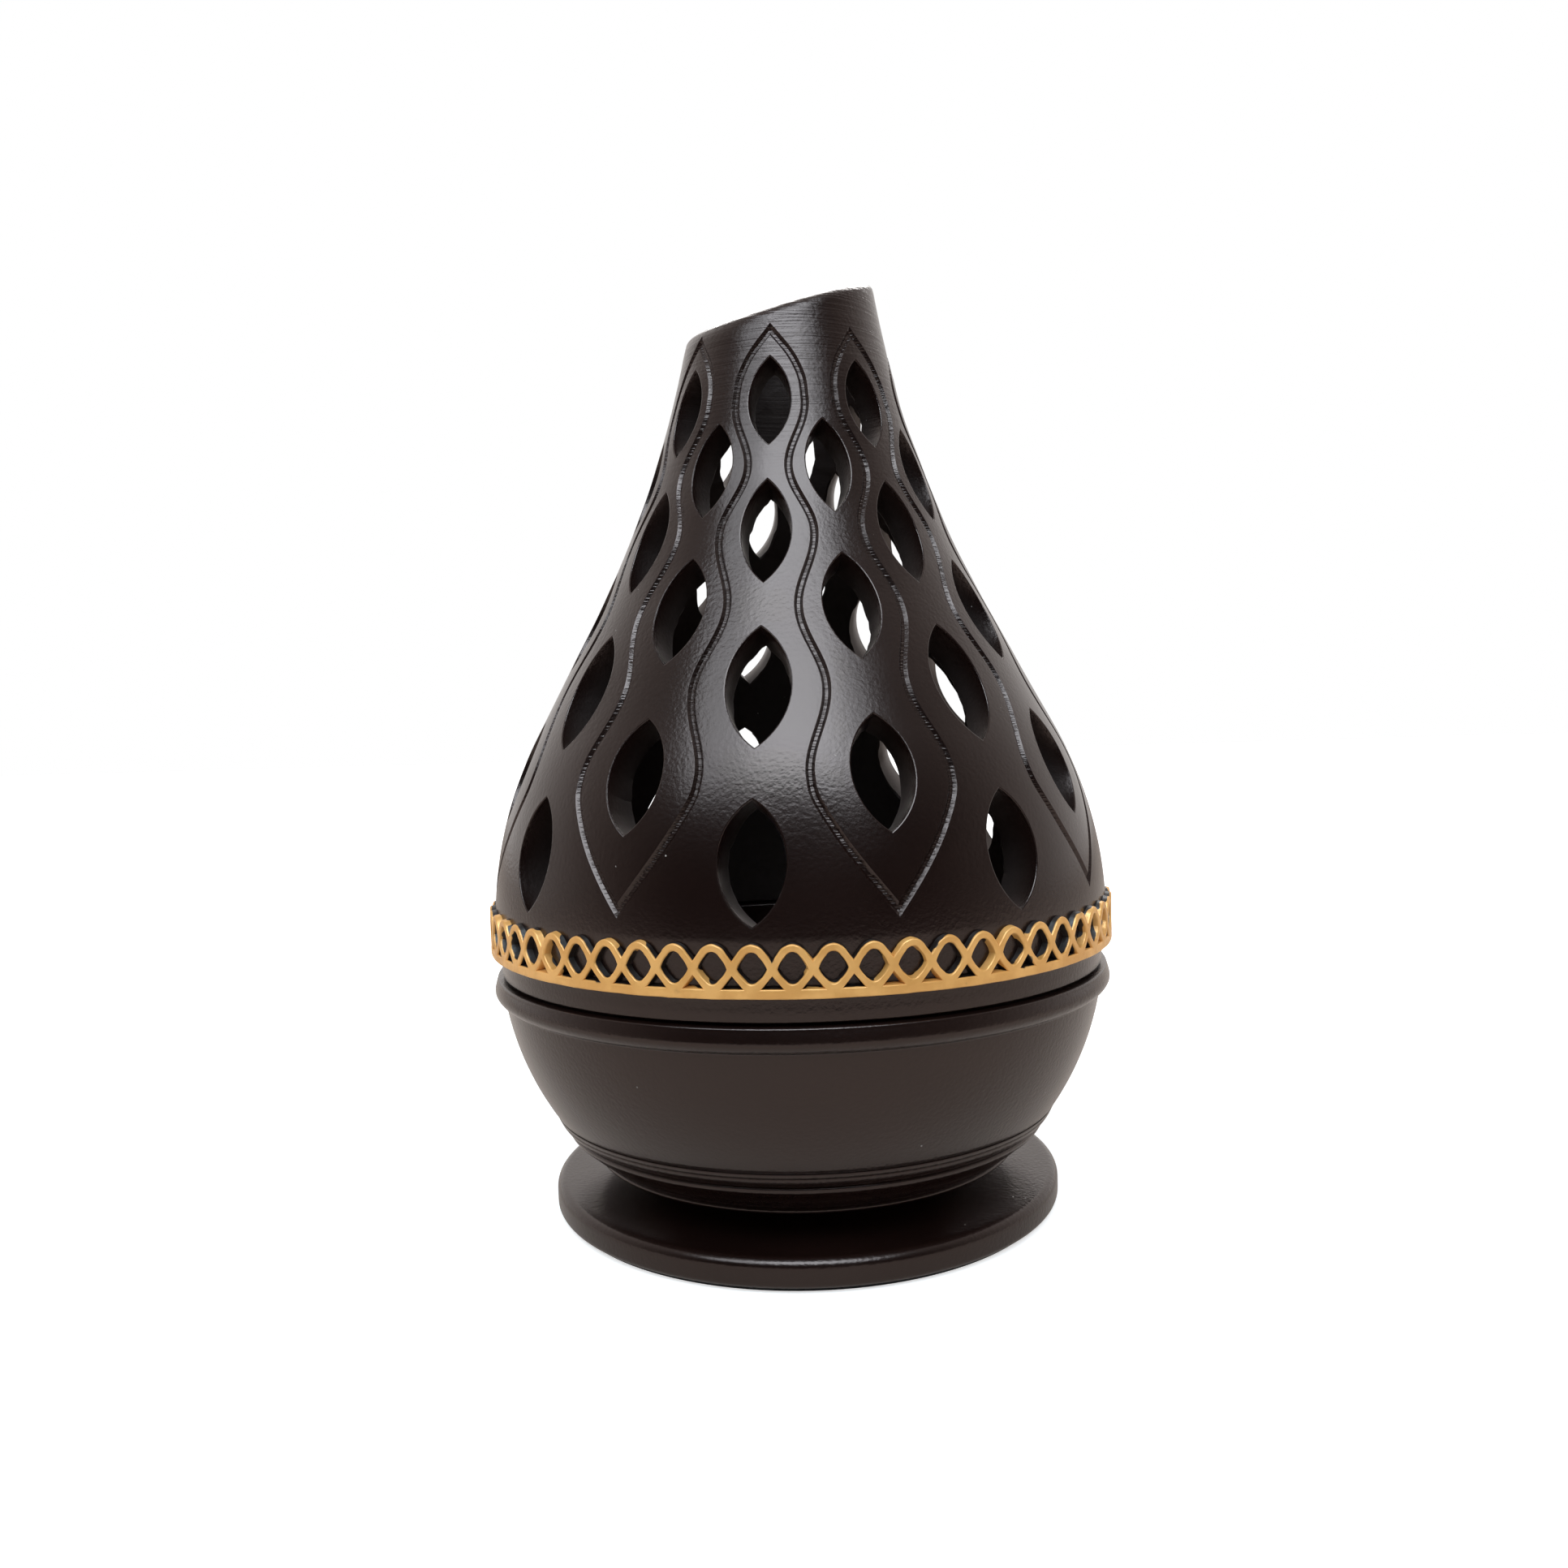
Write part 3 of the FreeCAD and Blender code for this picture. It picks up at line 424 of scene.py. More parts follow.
bowl = {
    "neckRadius": 21.5,
    "neckFoot": 5.3,
    "neckRound": 1.2,
    "underside": 7.9,
    "sideFoot": (38.05, 15.55),
    "sideTop": (44.77, 32.5),
    "sideCurve": 41.9,
    "rimFoot": 34.0,
    "rimRadius": 46.15,
    "rimCurve": 2.0,
    "rimLean": 0.4,
    "rimRound": 0.35,
    "seat": 36.0,
    "lipRadius": 40.2,
    "lipTop": 38.4,
    "lipWall": 1.6,
    "lipRound": 0.4,
    "dishFoot": 31.0,
    "dishCurve": 12.0,
    "ledge": (32.0, 24.0),
    "wellRadius": 26.1,
    "wellFloor": 14.5,
    "wellRound": 1.5,
    "insertRadius": 3.6,
    "insertTop": 11.4,
    # the lowest ring and the turned ridges, as spinProfile takes them
    "ridges": [
        (31.55, 7.9), (31.92, 8.20, 0.42, 4), (31.86, 8.50, 0.5, 3), (31.62, 8.68), (32.45, 9.08),
        (34.10, 10.45, -9.0, 4), (34.28, 10.66, 0.25, 3), (35.50, 11.75, -7.0, 4), (35.86, 11.97, 0.45, 3),
        (36.32, 12.72, 1.1, 5), (36.13, 13.04, 0.4, 3), (36.40, 13.20, -0.35, 2), (37.62, 14.52, 3.2, 7),
        (37.60, 14.68, 0.3, 2), (37.95, 15.20, 1.3, 4), (37.98, 15.36, 0.2, 2), (37.84, 15.44),
    ],
}


def makeBowl():
    size = bowl
    neck, neckRound, underside = size["neckRadius"], size["neckRound"], size["underside"]
    sideRadius, sideTop = size["sideTop"]
    rim, rimFoot, rimLean, rimRound = size["rimRadius"], size["rimFoot"], size["rimLean"], size["rimRound"]
    seat, lip, lipTop, edge = size["seat"], size["lipRadius"], size["lipTop"], size["lipRound"]
    inside = lip - size["lipWall"]
    ledgeRadius, ledge = size["ledge"]
    well, floor, wellRound = size["wellRadius"], size["wellFloor"], size["wellRound"]
    finishPiece(spinProfile("turnedBowl", [
        (0.0, size["insertTop"]),
        (size["insertRadius"], size["insertTop"]),
        (size["insertRadius"], size["neckFoot"]),
        (neck, size["neckFoot"]),
        (neck, underside - neckRound),
        (neck + neckRound, underside, -neckRound, 5),
        *size["ridges"],
        size["sideFoot"],
        (sideRadius - 0.06, sideTop - 0.15, size["sideCurve"], 26),
        # rim bead
        (sideRadius + 0.08, sideTop + 0.10, -0.3, 3),
        (rim - 0.05, rimFoot - 0.25, size["rimCurve"], 8),
        (rim - 0.02, rimFoot + 0.25, 1.6, 4),
        (rim - rimLean, seat - rimRound, 9.0, 5),
        (rim - rimLean - rimRound, seat, rimRound, 6),
        # lip, dish, ledge and well
        (lip + 0.3, seat),
        (lip, seat + 0.3, -0.3, 3),
        (lip, lipTop - edge),
        (lip - edge, lipTop, edge, 4),
        (inside + edge, lipTop),
        (inside, lipTop - edge, edge, 4),
        (inside, size["dishFoot"]),
        (ledgeRadius, ledge, -size["dishCurve"], 9),
        (well + edge, ledge),
        (well, ledge - edge, edge, 4),
        (well, floor + wellRound),
        (well - wellRound, floor, -wellRound, 5),
        (12.0, floor),
        (0.0, floor),
    ]), castingPaint, ["fire_bowl"], "base", 38)


makeFoot()
makeBowl()
print("foot and bowl turned")


dome = {
    "bellyRadius": 45.76,
    "belly": 42.7,
    "shoulderCurve": 58.9,
    "slopeAngle": 28.0,
    "slopeLength": 19.7,
    "collarCurve": 155.4,
    "wallFoot": 5.8,
    "wallSlope": 4.4,
    "wallTop": 4.0,
    "columns": 8,
    "turn": -7.36,
    "levelSteps": 12,       # steps of the mesh across half a step of the pattern
    "ringSteps": 13,        # from a hole's middle to its tip
    "low": 46.9,            # the patterned wall runs from here
    "high": 128.3,          # up to here
    "innerLow": 47.0,
    "innerHigh": 125.0,
    "spread": 1.3,          # spacing of the mesh on plain wall
    "innerSpread": 2.4,
    "edgeRound": 0.2,       # rounding of the holes' edges
    "edgeTurns": (0, 36, 63, 90),
    "innerEdge": ((0.25, 0.0), (0.0, -0.25), (0.0, -1.4)),      # spread and sink of the inner edge
    "draft": 5.0,
    "ragged": ((0.75, 0.22), (2.1, 0.07)),  # of the holes' inner edges: waves per millimetre, weight
    "raggedDepth": (2.2, 3.8),  # it starts at this depth and is full at that
    "insideDepth": (1.6, 3.1),  # the same for the painted shade and duller paint inside the dome
    "mouthHeight": 133.63,
    "mouthTilt": 19.2,
    "mouthDirection": 130.0,
    "mouthRound": 1.5,
    "rimReach": 1.62,       # way up the wall that the rim's rounding takes up, in its own size
    "mouthFoot": 124.0,     # the rim's rounding stays above this
    # the plain foot, from the patterned wall down and up again inside
    "footOutside": [(45.61, 46.0), (45.55, 45.2), (45.47, 44.0), (45.41, 42.9), (45.38, 41.5), (45.36, 40.2),
                    (45.30, 39.9), (45.05, 39.55), (45.0, 39.1), (45.0, 38.0), (45.0, 36.72), (44.95, 36.52),
                    (44.82, 36.40), (44.6, 36.36), (43.6, 36.35), (43.5, 36.3), (43.5, 36.05), (43.4, 36.0)],
    "footInside": [(40.9, 36.0), (40.65, 36.1), (40.6, 36.35), (40.6, 38.5), (40.6, 38.8), (40.2, 38.8),
                   (39.96, 38.85), (39.96, 39.2), (39.96, 42.7)],
}
# Rows of pointed holes from the lowest up: height, length, width, turned by half a step.
holeRows = [
    (55.70, 15.6, 8.60, False),
    (66.10, 15.7, 8.25, True),
    (76.90, 17.4, 8.55, False),
    (87.15, 16.1, 7.75, True),
    (97.60, 15.7, 6.90, False),
    (106.75, 14.3, 6.30, True),
    (116.20, 13.3, 6.00, False),
]
groove = {
    "halfFloor": 0.20,
    "halfWidth": 0.58,
    "shoulder": 0.70,
    "depth": 0.42,
    "top": 126.55,
    "foot": 49.6,
    "swings": [0.43, 0.62, 0.40, 0.66, 0.335, 0.69],    # at the second row and up, share of a half step
    "topWay": [(0.0, 0.0), (0.25, 0.48), (0.45, 0.76), (0.7, 0.96), (1.0, 1.0)],
    "footWay": [(0.0, 0.0), (0.17, 0.05), (0.43, 0.30), (0.66, 0.565), (1.0, 1.0)],
}

lean = math.radians(dome["slopeAngle"])
slopeFootRadius = dome["bellyRadius"] - dome["shoulderCurve"] * (1 - math.cos(lean))
slopeFoot = dome["belly"] + dome["shoulderCurve"] * math.sin(lean)
slopeTopRadius = slopeFootRadius - dome["slopeLength"] * math.sin(lean)
slopeTop = slopeFoot + dome["slopeLength"] * math.cos(lean)
halfStep = math.pi / dome["columns"]
levelAngles = [halfStep * step / dome["levelSteps"] for step in range(dome["levelSteps"] + 1)]
holeSides = [halfStep if turned else 0.0 for *_, turned in holeRows]


def wallRadius(height, inset=0.0):
    if height < slopeFoot - inset * math.sin(lean):
        reach = (dome["shoulderCurve"] - inset) ** 2 - (height - dome["belly"]) ** 2
        return dome["bellyRadius"] - dome["shoulderCurve"] + math.sqrt(reach)
    if height < slopeTop - inset * math.sin(lean):
        return slopeFootRadius - inset / math.cos(lean) - (height - slopeFoot) * math.tan(lean)
    centreRadius = slopeTopRadius + dome["collarCurve"] * math.cos(lean)
    centreHeight = slopeTop + dome["collarCurve"] * math.sin(lean)
    return centreRadius - math.sqrt((dome["collarCurve"] + inset) ** 2 - (centreHeight - height) ** 2)


def wallLean(height):
    if height < slopeFoot:
        return math.asin((height - dome["belly"]) / dome["shoulderCurve"])
    if height < slopeTop:
        return lean
    return math.asin(math.sin(lean) - (height - slopeTop) / dome["collarCurve"])


def innerRadius(height):
    shoulderRadius = slopeFootRadius - dome["wallSlope"] * math.cos(lean)
    shoulderHeight = slopeFoot - dome["wallSlope"] * math.sin(lean)
    footRadius = dome["bellyRadius"] - dome["wallFoot"]
    if height < dome["belly"]:
        return footRadius
    if height < shoulderHeight:
        inward = footRadius - shoulderRadius
        curve = (inward ** 2 + (shoulderHeight - dome["belly"]) ** 2) / (2 * inward)
        return footRadius - curve + math.sqrt(curve ** 2 - (height - dome["belly"]) ** 2)
    share = smoothStep((height - slopeTop) / (dome["mouthHeight"] - slopeTop))
    return wallRadius(height, dome["wallSlope"] + share * (dome["wallTop"] - dome["wallSlope"]))


def polar(angle, radius, height):
    return Vector((radius * math.sin(angle), -radius * math.cos(angle), height))


def angleOf(point):
    return math.atan2(point.x, -point.y)


def depthOf(point):
    # How far a point lies inside the outer wall.
    return wallRadius(min(point.z, 139)) - math.hypot(point.x, point.y)


def unroll(point, radiusAt=wallRadius):
    # The wall laid flat: way round, and way up along the wall.
    return Vector((angleOf(point) * radiusAt(point.z), wayUp(point.z)))


wayTable = [0.0]
for step in range(1, 1100):
    wayTable.append(wayTable[-1] + 0.1 / math.cos(wallLean(40 + (step - 0.5) * 0.1)))


def wayUp(height):
    place = (height - 40) / 0.1
    index = int(place)
    return wayTable[index] + (place - index) * (wayTable[index + 1] - wayTable[index])


def holePoint(row, share, spread, sink, radiusAt=wallRadius):
    # A point on a hole's wall: share runs from its lower to its upper tip, spread widens the outline and
    # sink goes deeper than the surface.
    level, length, width, turned = row
    tilt = wallLean(level)
    curve = (length ** 2 + width ** 2) / (4 * width)
    centre = curve - width / 2
    depth = 0.0
    for _ in range(12):
        reach = curve + spread - (0.6 - depth) * math.tan(math.radians(dome["draft"]))
        angle = share * math.acos(centre / reach)
        across = reach * math.cos(angle) - centre
        along = reach * math.sin(angle)
        radial = wallRadius(level) + depth * math.cos(tilt) - along * math.sin(tilt)
        height = level + depth * math.sin(tilt) + along * math.cos(tilt)
        depth -= math.hypot(across, radial) - radiusAt(height)
    point = Vector((across, -radial, height)) + Vector((0, math.cos(tilt), -math.sin(tilt))) * sink
    if turned:
        point.x = -point.x
        point.rotate(Matrix.Rotation(halfStep, 3, "Z"))
    return point


def grooveLine():
    # The middle of one groove as (angle, height), from the upper to the lower point.
    rows = [row[0] for row in holeRows[1:]]
    swings = groove["swings"]
    line = bendThrough([(share * swings[-1], groove["top"] + down * (rows[-1] - groove["top"]))
                        for down, share in groove["topWay"]], 6)
    for index in range(len(rows) - 1, 0, -1):
        for part in range(20):
            share = part / 20
            swing = (1 - math.cos(math.pi * share)) / 2
            line.append((swings[index] + swing * (swings[index - 1] - swings[index]),
                         rows[index] + share * (rows[index - 1] - rows[index])))
    knots = [(swings[0] + share * (1 - swings[0]), rows[0] + down * (groove["foot"] - rows[0]))
             for down, share in groove["footWay"]]
    line += bendThrough(knots, 7) + [knots[-1]]
    return [(share * halfStep, height) for share, height in line]


def bendThrough(knots, parts):
    # A smooth curve through the knots, without the last one.
    line = []
    for index in range(len(knots) - 1):
        around = [knots[min(max(index + step, 0), len(knots) - 1)] for step in (-1, 0, 1, 2)]
        for share in (part / parts for part in range(parts)):
            line.append(tuple(0.5 * (2 * q + (r - p) * share + (2 * p - 5 * q + 4 * r - s) * share ** 2
                                     + (3 * q - p - 3 * r + s) * share ** 3) for p, q, r, s in zip(*around)))
    return line


def shiftLine(line, offset):
    # The groove's line moved sideways on the wall, cut off where it leaves the half step.
    flat = [Vector((angle * wallRadius(height), wayUp(height))) for angle, height in line]
    flat.insert(0, flat[0] + (flat[0] - flat[1]).normalized() * 1.6)
    flat.append(flat[-1] + (flat[-1] - flat[-2]).normalized() * 1.6)
    heights = [line[0][1] + flat[0].y - flat[1].y] + [height for _, height in line]
    heights.append(line[-1][1] + flat[-1].y - flat[-2].y)
    moved = []
    for index, (point, height) in enumerate(zip(flat, heights)):
        along = (flat[min(index + 1, len(flat) - 1)] - flat[max(index - 1, 0)]).normalized()
        side = Vector((-along.y, along.x)) * offset
        raised = height + side.y * math.cos(wallLean(height))
        moved.append(((point.x + side.x) / wallRadius(raised), raised))
    kept = []
    for index, (angle, height) in enumerate(moved):
        inside = 0 < angle < halfStep
        if index and inside != (0 < moved[index - 1][0] < halfStep):
            last = moved[index - 1]
            edge = 0.0 if min(angle, last[0]) < 0 else halfStep
            share = (edge - last[0]) / (angle - last[0])
            kept.append((edge, last[1] + share * (height - last[1])))
        if inside:
            kept.append((angle, height))
    return kept


class Sheet:
    # One half step of a wall, laid flat and divided into triangles round its holes.
    def __init__(self, radiusAt, rings):
        self.radiusAt = radiusAt
        self.points = []
        self.links = []
        self.edges = {0.0: [], halfStep: []}
        self.outlines = [([unroll(point, radiusAt) for point in ring], ring[0].z, ring[-1].z) for ring in rings]
        self.holes = []
        for side, ring in zip(holeSides, rings):
            self.holes.append(self.addChain(ring))
            self.edges[side] += [(ring[0].z, self.holes[-1][0]), (ring[-1].z, self.holes[-1][-1])]

    def add(self, point):
        self.points.append(point)
        return len(self.points) - 1

    def addChain(self, points):
        # Adds points linked one after the other and gives back their numbers.
        chain = [self.add(point) for point in points]
        self.links += zip(chain, chain[1:])
        return chain

    def addLine(self, line):
        chain = self.addChain([polar(angle, self.radiusAt(height), height) for angle, height in line])
        for (angle, height), index in zip(line, chain):
            if angle in self.edges:
                self.edges[angle].append((height, index))

    def addFrame(self, low, high):
        # Both upright edges and the two levels that close the sheet.
        for height in (low, high):
            row = self.addChain([polar(angle, self.radiusAt(height), height) for angle in levelAngles])
            self.edges[0.0].append((height, row[0]))
            self.edges[halfStep].append((height, row[-1]))
        for side, known in self.edges.items():
            height = low
            while height < high:
                height += 1.0
                clear = all(abs(height - other) > 0.55 for other, _ in known)
                holed = any(bottom - 0.3 < height < top + 0.3 for edge, (_, bottom, top)
                            in zip(holeSides, self.outlines) if edge == side)
                if clear and not holed and height < high:
                    known.append((height, self.add(polar(side, self.radiusAt(height), height))))
            known.sort()
            self.links += [(lower[1], upper[1]) for lower, upper in zip(known, known[1:])]

    def fill(self, low, high, spacing):
        tree = kdtree.KDTree(len(self.points))
        for index, point in enumerate(self.points):
            tree.insert(point, index)
        tree.balance()
        height = low + spacing
        offset = 0
        while height < high - spacing * 0.6:
            reach = halfStep * self.radiusAt(height)
            count = max(int(reach / spacing), 1)
            for step in range(count):
                angle = halfStep * (step + 0.5 + 0.25 * (-1) ** offset) / count
                point = polar(angle, self.radiusAt(height), height)
                if tree.find(point)[2] > spacing * 0.62 and not self.inHole(point):
                    self.add(point)
            height += spacing * 0.87 * math.cos(wallLean(height))
            offset += 1

    def inHole(self, point):
        flat = unroll(point, self.radiusAt)
        for outline, low, high in self.outlines:
            if not low < point.z < high:
                continue
            crossings = 0
            for first, second in zip(outline, outline[1:] + outline[:1]):
                if (first.y > flat.y) != (second.y > flat.y):
                    across = first.x + (flat.y - first.y) * (second.x - first.x) / (second.y - first.y)
                    crossings += flat.x < across
            if crossings % 2:
                return True
        return False

    def triangles(self):
        flat = [unroll(point, self.radiusAt) for point in self.points]
        result = delaunay_2d_cdt(flat, self.links, [], 0, 1e-5)
        faces, origins = result[2], result[3]
        order = [origin[0] if origin else None for origin in origins]
        borders = [{index for _, index in known} for known in self.edges.values()]
        borders += [set(hole) for hole in self.holes]
        kept = []
        for face in faces:
            corners = [order[index] for index in face]
            if None in corners or len(set(corners)) < 3:
                continue
            if any(border.issuperset(corners) for border in borders):
                continue
            middle = sum((self.points[index] for index in corners), Vector()) / 3
            if 0 < angleOf(middle) < halfStep and not self.inHole(middle):
                kept.append(corners)
        return kept


def buildSheet(mesh, radiusAt, low, high, rings, spacing, lines):
    # Adds one half step of a wall to the mesh and gives back the vertices round each hole.
    sheet = Sheet(radiusAt, rings)
    for line in lines:
        sheet.addLine(line)
    sheet.addFrame(low, high)
    sheet.fill(low, high, spacing)
    corners = [mesh.verts.new(point) for point in sheet.points]
    for face in sheet.triangles():
        mesh.faces.new([corners[index] for index in face])
    return [[corners[index] for index in hole] for hole in sheet.holes]


def pressGroove(mesh, line):
    # Pushes the wall in along the groove's middle: a narrow floor, straight flanks and soft upper edges.
    marked = mesh.verts.layers.float["groove"]
    flat = [Vector((angle * wallRadius(height), wayUp(height), 0)) for angle, height in line]
    for vert in mesh.verts:
        if not groove["foot"] - 2 < vert.co.z < groove["top"] + 2 or abs(depthOf(vert.co)) > 0.01:
            continue
        place = unroll(vert.co).to_3d()
        nearest = 9.0
        for first, second in zip(flat, flat[1:]):
            if abs(first.y - place.y) > 3:
                continue
            way = second - first
            share = min(max((place - first).dot(way) / way.length_squared, 0), 1)
            nearest = min(nearest, (first + way * share - place).length)
        if nearest < groove["shoulder"]:
            flank = (groove["halfWidth"] - nearest) / (groove["halfWidth"] - groove["halfFloor"])
            straight = min(max(flank, 0), 1)
            soft = smoothStep(1 - nearest / groove["shoulder"])
            depth = groove["depth"] * (0.85 * straight + 0.15 * soft)
            vert[marked] = straight
            tilt = wallLean(vert.co.z)
            vert.co -= polar(angleOf(vert.co), math.cos(tilt), math.sin(tilt)) * depth


def joinRows(mesh, rows):
    # Four-sided faces between each row of vertices and the next.
    for upper, lower in zip(rows, rows[1:]):
        for index in range(len(upper) - 1):
            mesh.faces.new((upper[index], upper[index + 1], lower[index + 1], lower[index]))


def holeRings(spread, sink, radiusAt=wallRadius):
    steps = dome["ringSteps"]
    shares = [math.sin(math.pi / 2 * (step / steps - 1)) for step in range(2 * steps + 1)]
    return [[holePoint(row, share, spread, sink, radiusAt) for share in shares] for row in holeRows]


def makeHalfStep():
    mesh = bmesh.new()
    mesh.verts.layers.float.new("groove")
    rounding = dome["edgeRound"]
    outerRings = [holeRings(rounding * (1 - math.sin(math.radians(turn))),
                            rounding * (1 - math.cos(math.radians(turn)))) for turn in dome["edgeTurns"]]
    innerRings = [holeRings(spread, sink, innerRadius) for spread, sink in dome["innerEdge"]]
    line = grooveLine()
    lines = [shiftLine(line, side * groove[edge]) for edge in ("halfFloor", "halfWidth", "shoulder")
             for side in (-1, 1)]
    lines.append([(0.0, line[0][1])] + line[1:-1] + [(halfStep, line[-1][1])])
    outer = buildSheet(mesh, wallRadius, dome["low"], dome["high"], outerRings[0], dome["spread"], lines)
    pressGroove(mesh, line)
    inner = buildSheet(mesh, innerRadius, dome["innerLow"], dome["innerHigh"], innerRings[0],
                       dome["innerSpread"], [])
    # each hole's wall, from its outer to its inner edge
    for number, (first, last) in enumerate(zip(outer, inner)):
        between = [rings[number] for rings in (*outerRings[1:], innerRings[2], innerRings[1])]
        joinRows(mesh, [first, *([mesh.verts.new(point) for point in ring] for ring in between), last])
    profile = [(wallRadius(dome["low"]), dome["low"]), (wallRadius(46.45) - 0.01, 46.45),
               *dome["footOutside"], *dome["footInside"], (innerRadius(dome["innerLow"]), dome["innerLow"])]
    joinRows(mesh, [[mesh.verts.new(polar(angle, radius, height)) for angle in levelAngles]
                    for radius, height in profile])
    bmesh.ops.remove_doubles(mesh, verts=mesh.verts, dist=0.004)
    return mesh


def mouthHeightAt(angle, radiusAt):
    # Height of the mouth's plane on a wall.
    slope = math.tan(math.radians(dome["mouthTilt"])) * math.cos(angle - math.radians(dome["mouthDirection"]))
    height = dome["mouthHeight"]
    for _ in range(16):
        height = dome["mouthHeight"] + slope * radiusAt(height)
    return height


def mouthRoundAt(angle):
    # The rim is rounder where it is lowest.
    low = max(-math.cos(angle - math.radians(dome["mouthDirection"])), 0)
    return dome["mouthRound"] * (1.0 + 0.3 * low ** 2)


def curveOver(corner, before, after, share):
    return before * (1 - share) ** 2 + corner * 2 * share * (1 - share) + after * share ** 2


def mouthPath(angle):
    # The wall's way over the rim in the plane of one angle, as (radius, height): the last level of plain
    # wall outside and inside, and the points between.
    height, inner = mouthHeightAt(angle, wallRadius), mouthHeightAt(angle, innerRadius)
    size = mouthRoundAt(angle)
    corner = Vector((wallRadius(height), height))
    innerCorner = Vector((innerRadius(inner), inner))
    along = (innerCorner - corner).normalized()
    start = Vector((wallRadius(height - size), height - size))
    end = Vector((innerRadius(inner - size * 0.8), inner - size * 0.8))
    return start, corner, corner + along * size, innerCorner - along * size * 0.8, innerCorner, end


def overRim(angle, height):
    # Where a point of the plain outer wall goes when the rim is rounded.
    start, corner, flat, _, _, _ = mouthPath(angle)
    if height <= start.y:
        return Vector((wallRadius(height), height))
    return curveOver(corner, start, flat, min((height - start.y) / (dome["rimReach"] * mouthRoundAt(angle)), 1))


def makeMouth(mesh):
    columns = 2 * dome["levelSteps"] * dome["columns"]
    outward = [0, 0.12, 0.24, 0.36, 0.47, 0.57, 0.66, 0.74, 0.80, 0.85, 0.885, 0.92, 0.95, 0.98, 1.0]
    rows = []
    for column in range(columns):
        angle = math.radians(dome["turn"]) + 2 * math.pi * column / columns
        start, corner, flat, innerFlat, innerCorner, end = mouthPath(angle)
        last = start.y + dome["rimReach"] * mouthRoundAt(angle)
        path = [overRim(angle, dome["high"] + (last - dome["high"]) * share) for share in outward]
        path += [flat.lerp(innerFlat, share) for share in (0.33, 0.67)]
        path += [curveOver(innerCorner, innerFlat, end, share / 6) for share in range(7)]
        for share in (0.15, 0.35, 0.6, 0.8, 1.0):
            height = end.y + (dome["innerHigh"] - end.y) * share
            path.append(Vector((innerRadius(height), height)))
        rows.append([mesh.verts.new(polar(angle, *point)) for point in path])
    joinRows(mesh, rows + rows[:1])


def makeDome():
    sector = makeHalfStep()
    flat = bpy.data.meshes.new("domeHalfStep")
    sector.to_mesh(flat)
    sector.free()
    whole = bmesh.new()
    for column in range(dome["columns"]):
        for flip in (1, -1):
            start = len(whole.verts)
            whole.from_mesh(flat)
            whole.verts.ensure_lookup_table()
            turn = Matrix.Rotation(2 * halfStep * column + math.radians(dome["turn"]), 4, "Z")
            for vert in whole.verts[start:]:
                vert.co.x *= flip
                vert.co = turn @ vert.co
    # the patterned wall follows the rim's rounding
    for vert in whole.verts:
        if vert.co.z < dome["mouthFoot"] or depthOf(vert.co) > 1:
            continue
        angle = angleOf(vert.co)
        here, above = overRim(angle, vert.co.z), overRim(angle, vert.co.z + 0.05)
        outward = Vector((above.y - here.y, here.x - above.x)).normalized()
        vert.co = polar(angle, *(here - outward * depthOf(vert.co)))
    makeMouth(whole)
    bmesh.ops.remove_doubles(whole, verts=whole.verts, dist=0.006)
    # the holes' inner edges are a little ragged
    start, full = dome["raggedDepth"]
    for vert in whole.verts:
        depth = depthOf(vert.co)
        if 50 < vert.co.z < dome["mouthFoot"] and depth > start and vert.is_manifold:
            vert.co += unevenAt(vert.co, dome["ragged"]) * smoothStep((depth - start) / (full - start))
    bmesh.ops.recalc_face_normals(whole, faces=whole.faces)
    # depth in the wall marks the inside, where the paint is darkened as painted shade and made duller
    inside = whole.verts.layers.float.new("inside")
    start, full = dome["insideDepth"]
    for vert in whole.verts:
        vert[inside] = smoothStep((depthOf(vert.co) - start) / (full - start))
    mesh = bpy.data.meshes.new("piercedDome")
    whole.to_mesh(mesh)
    whole.free()
    bpy.data.meshes.remove(flat)
    piece = bpy.data.objects.new("piercedDome", mesh)
    bpy.context.scene.collection.objects.link(piece)
    print("dome faces", len(mesh.polygons), "loose edges", sum(edge.is_loose for edge in mesh.edges))
    finishPiece(piece, domePaint, ["smoke_lid"], "lid", 16)


makeDome()
print("dome made")


lattice = {
    "radius": 46.5,
    "footRadius": 45.30,
    "foot": 39.6,
    "height": 6.6,
    "arches": 60,
    "rail": 1.22,
    "triangleBase": 2.62,
    "triangleTop": 2.80,
    "diamondWidth": 3.6,
    "diamondTop": 5.66,
    # down one side of a diamond: share of half its width, height, arc radius and arc steps
    "diamondSide": [(0.50, 5.10, 1.05, 4), (1.0, 3.62, 3.9, 5), (0.42, 2.22, 3.6, 5), (0.0, 1.80, 0.9, 3)],
    "valley": 4.56,
    "flank": [(0.86, 5.02), (0.70, 5.52)],      # up from the valley: share of half an arch, height
    "archRound": 2.15,
    "spread": 0.17,         # the relief is this much wider at its foot
    "edge": [(0.17, 0.97), (0.03, 0.11), (0.06, 0.07), (0.08, 0.04), (0.08, 0.01)],   # inward, up
    "uneven": 0.05,
    "waves": ((0.33, 1.0), (1.2, 0.45)),
}


def mirrorLine(line, across):
    return [(2 * across - x, y) for x, y in reversed(line)]


def growLoop(loop, distance):
    # Every corner of a closed outline moved to the right of the way round.
    grown = []
    for index, point in enumerate(loop):
        before = Vector(point) - Vector(loop[index - 1])
        after = Vector(loop[(index + 1) % len(loop)]) - Vector(point)
        first = Vector((before.y, -before.x)).normalized()
        second = Vector((after.y, -after.x)).normalized()
        middle = (first + second).normalized()
        grown.append(tuple(Vector(point) + middle * distance / max(middle.dot(first), 0.45)))
    return grown


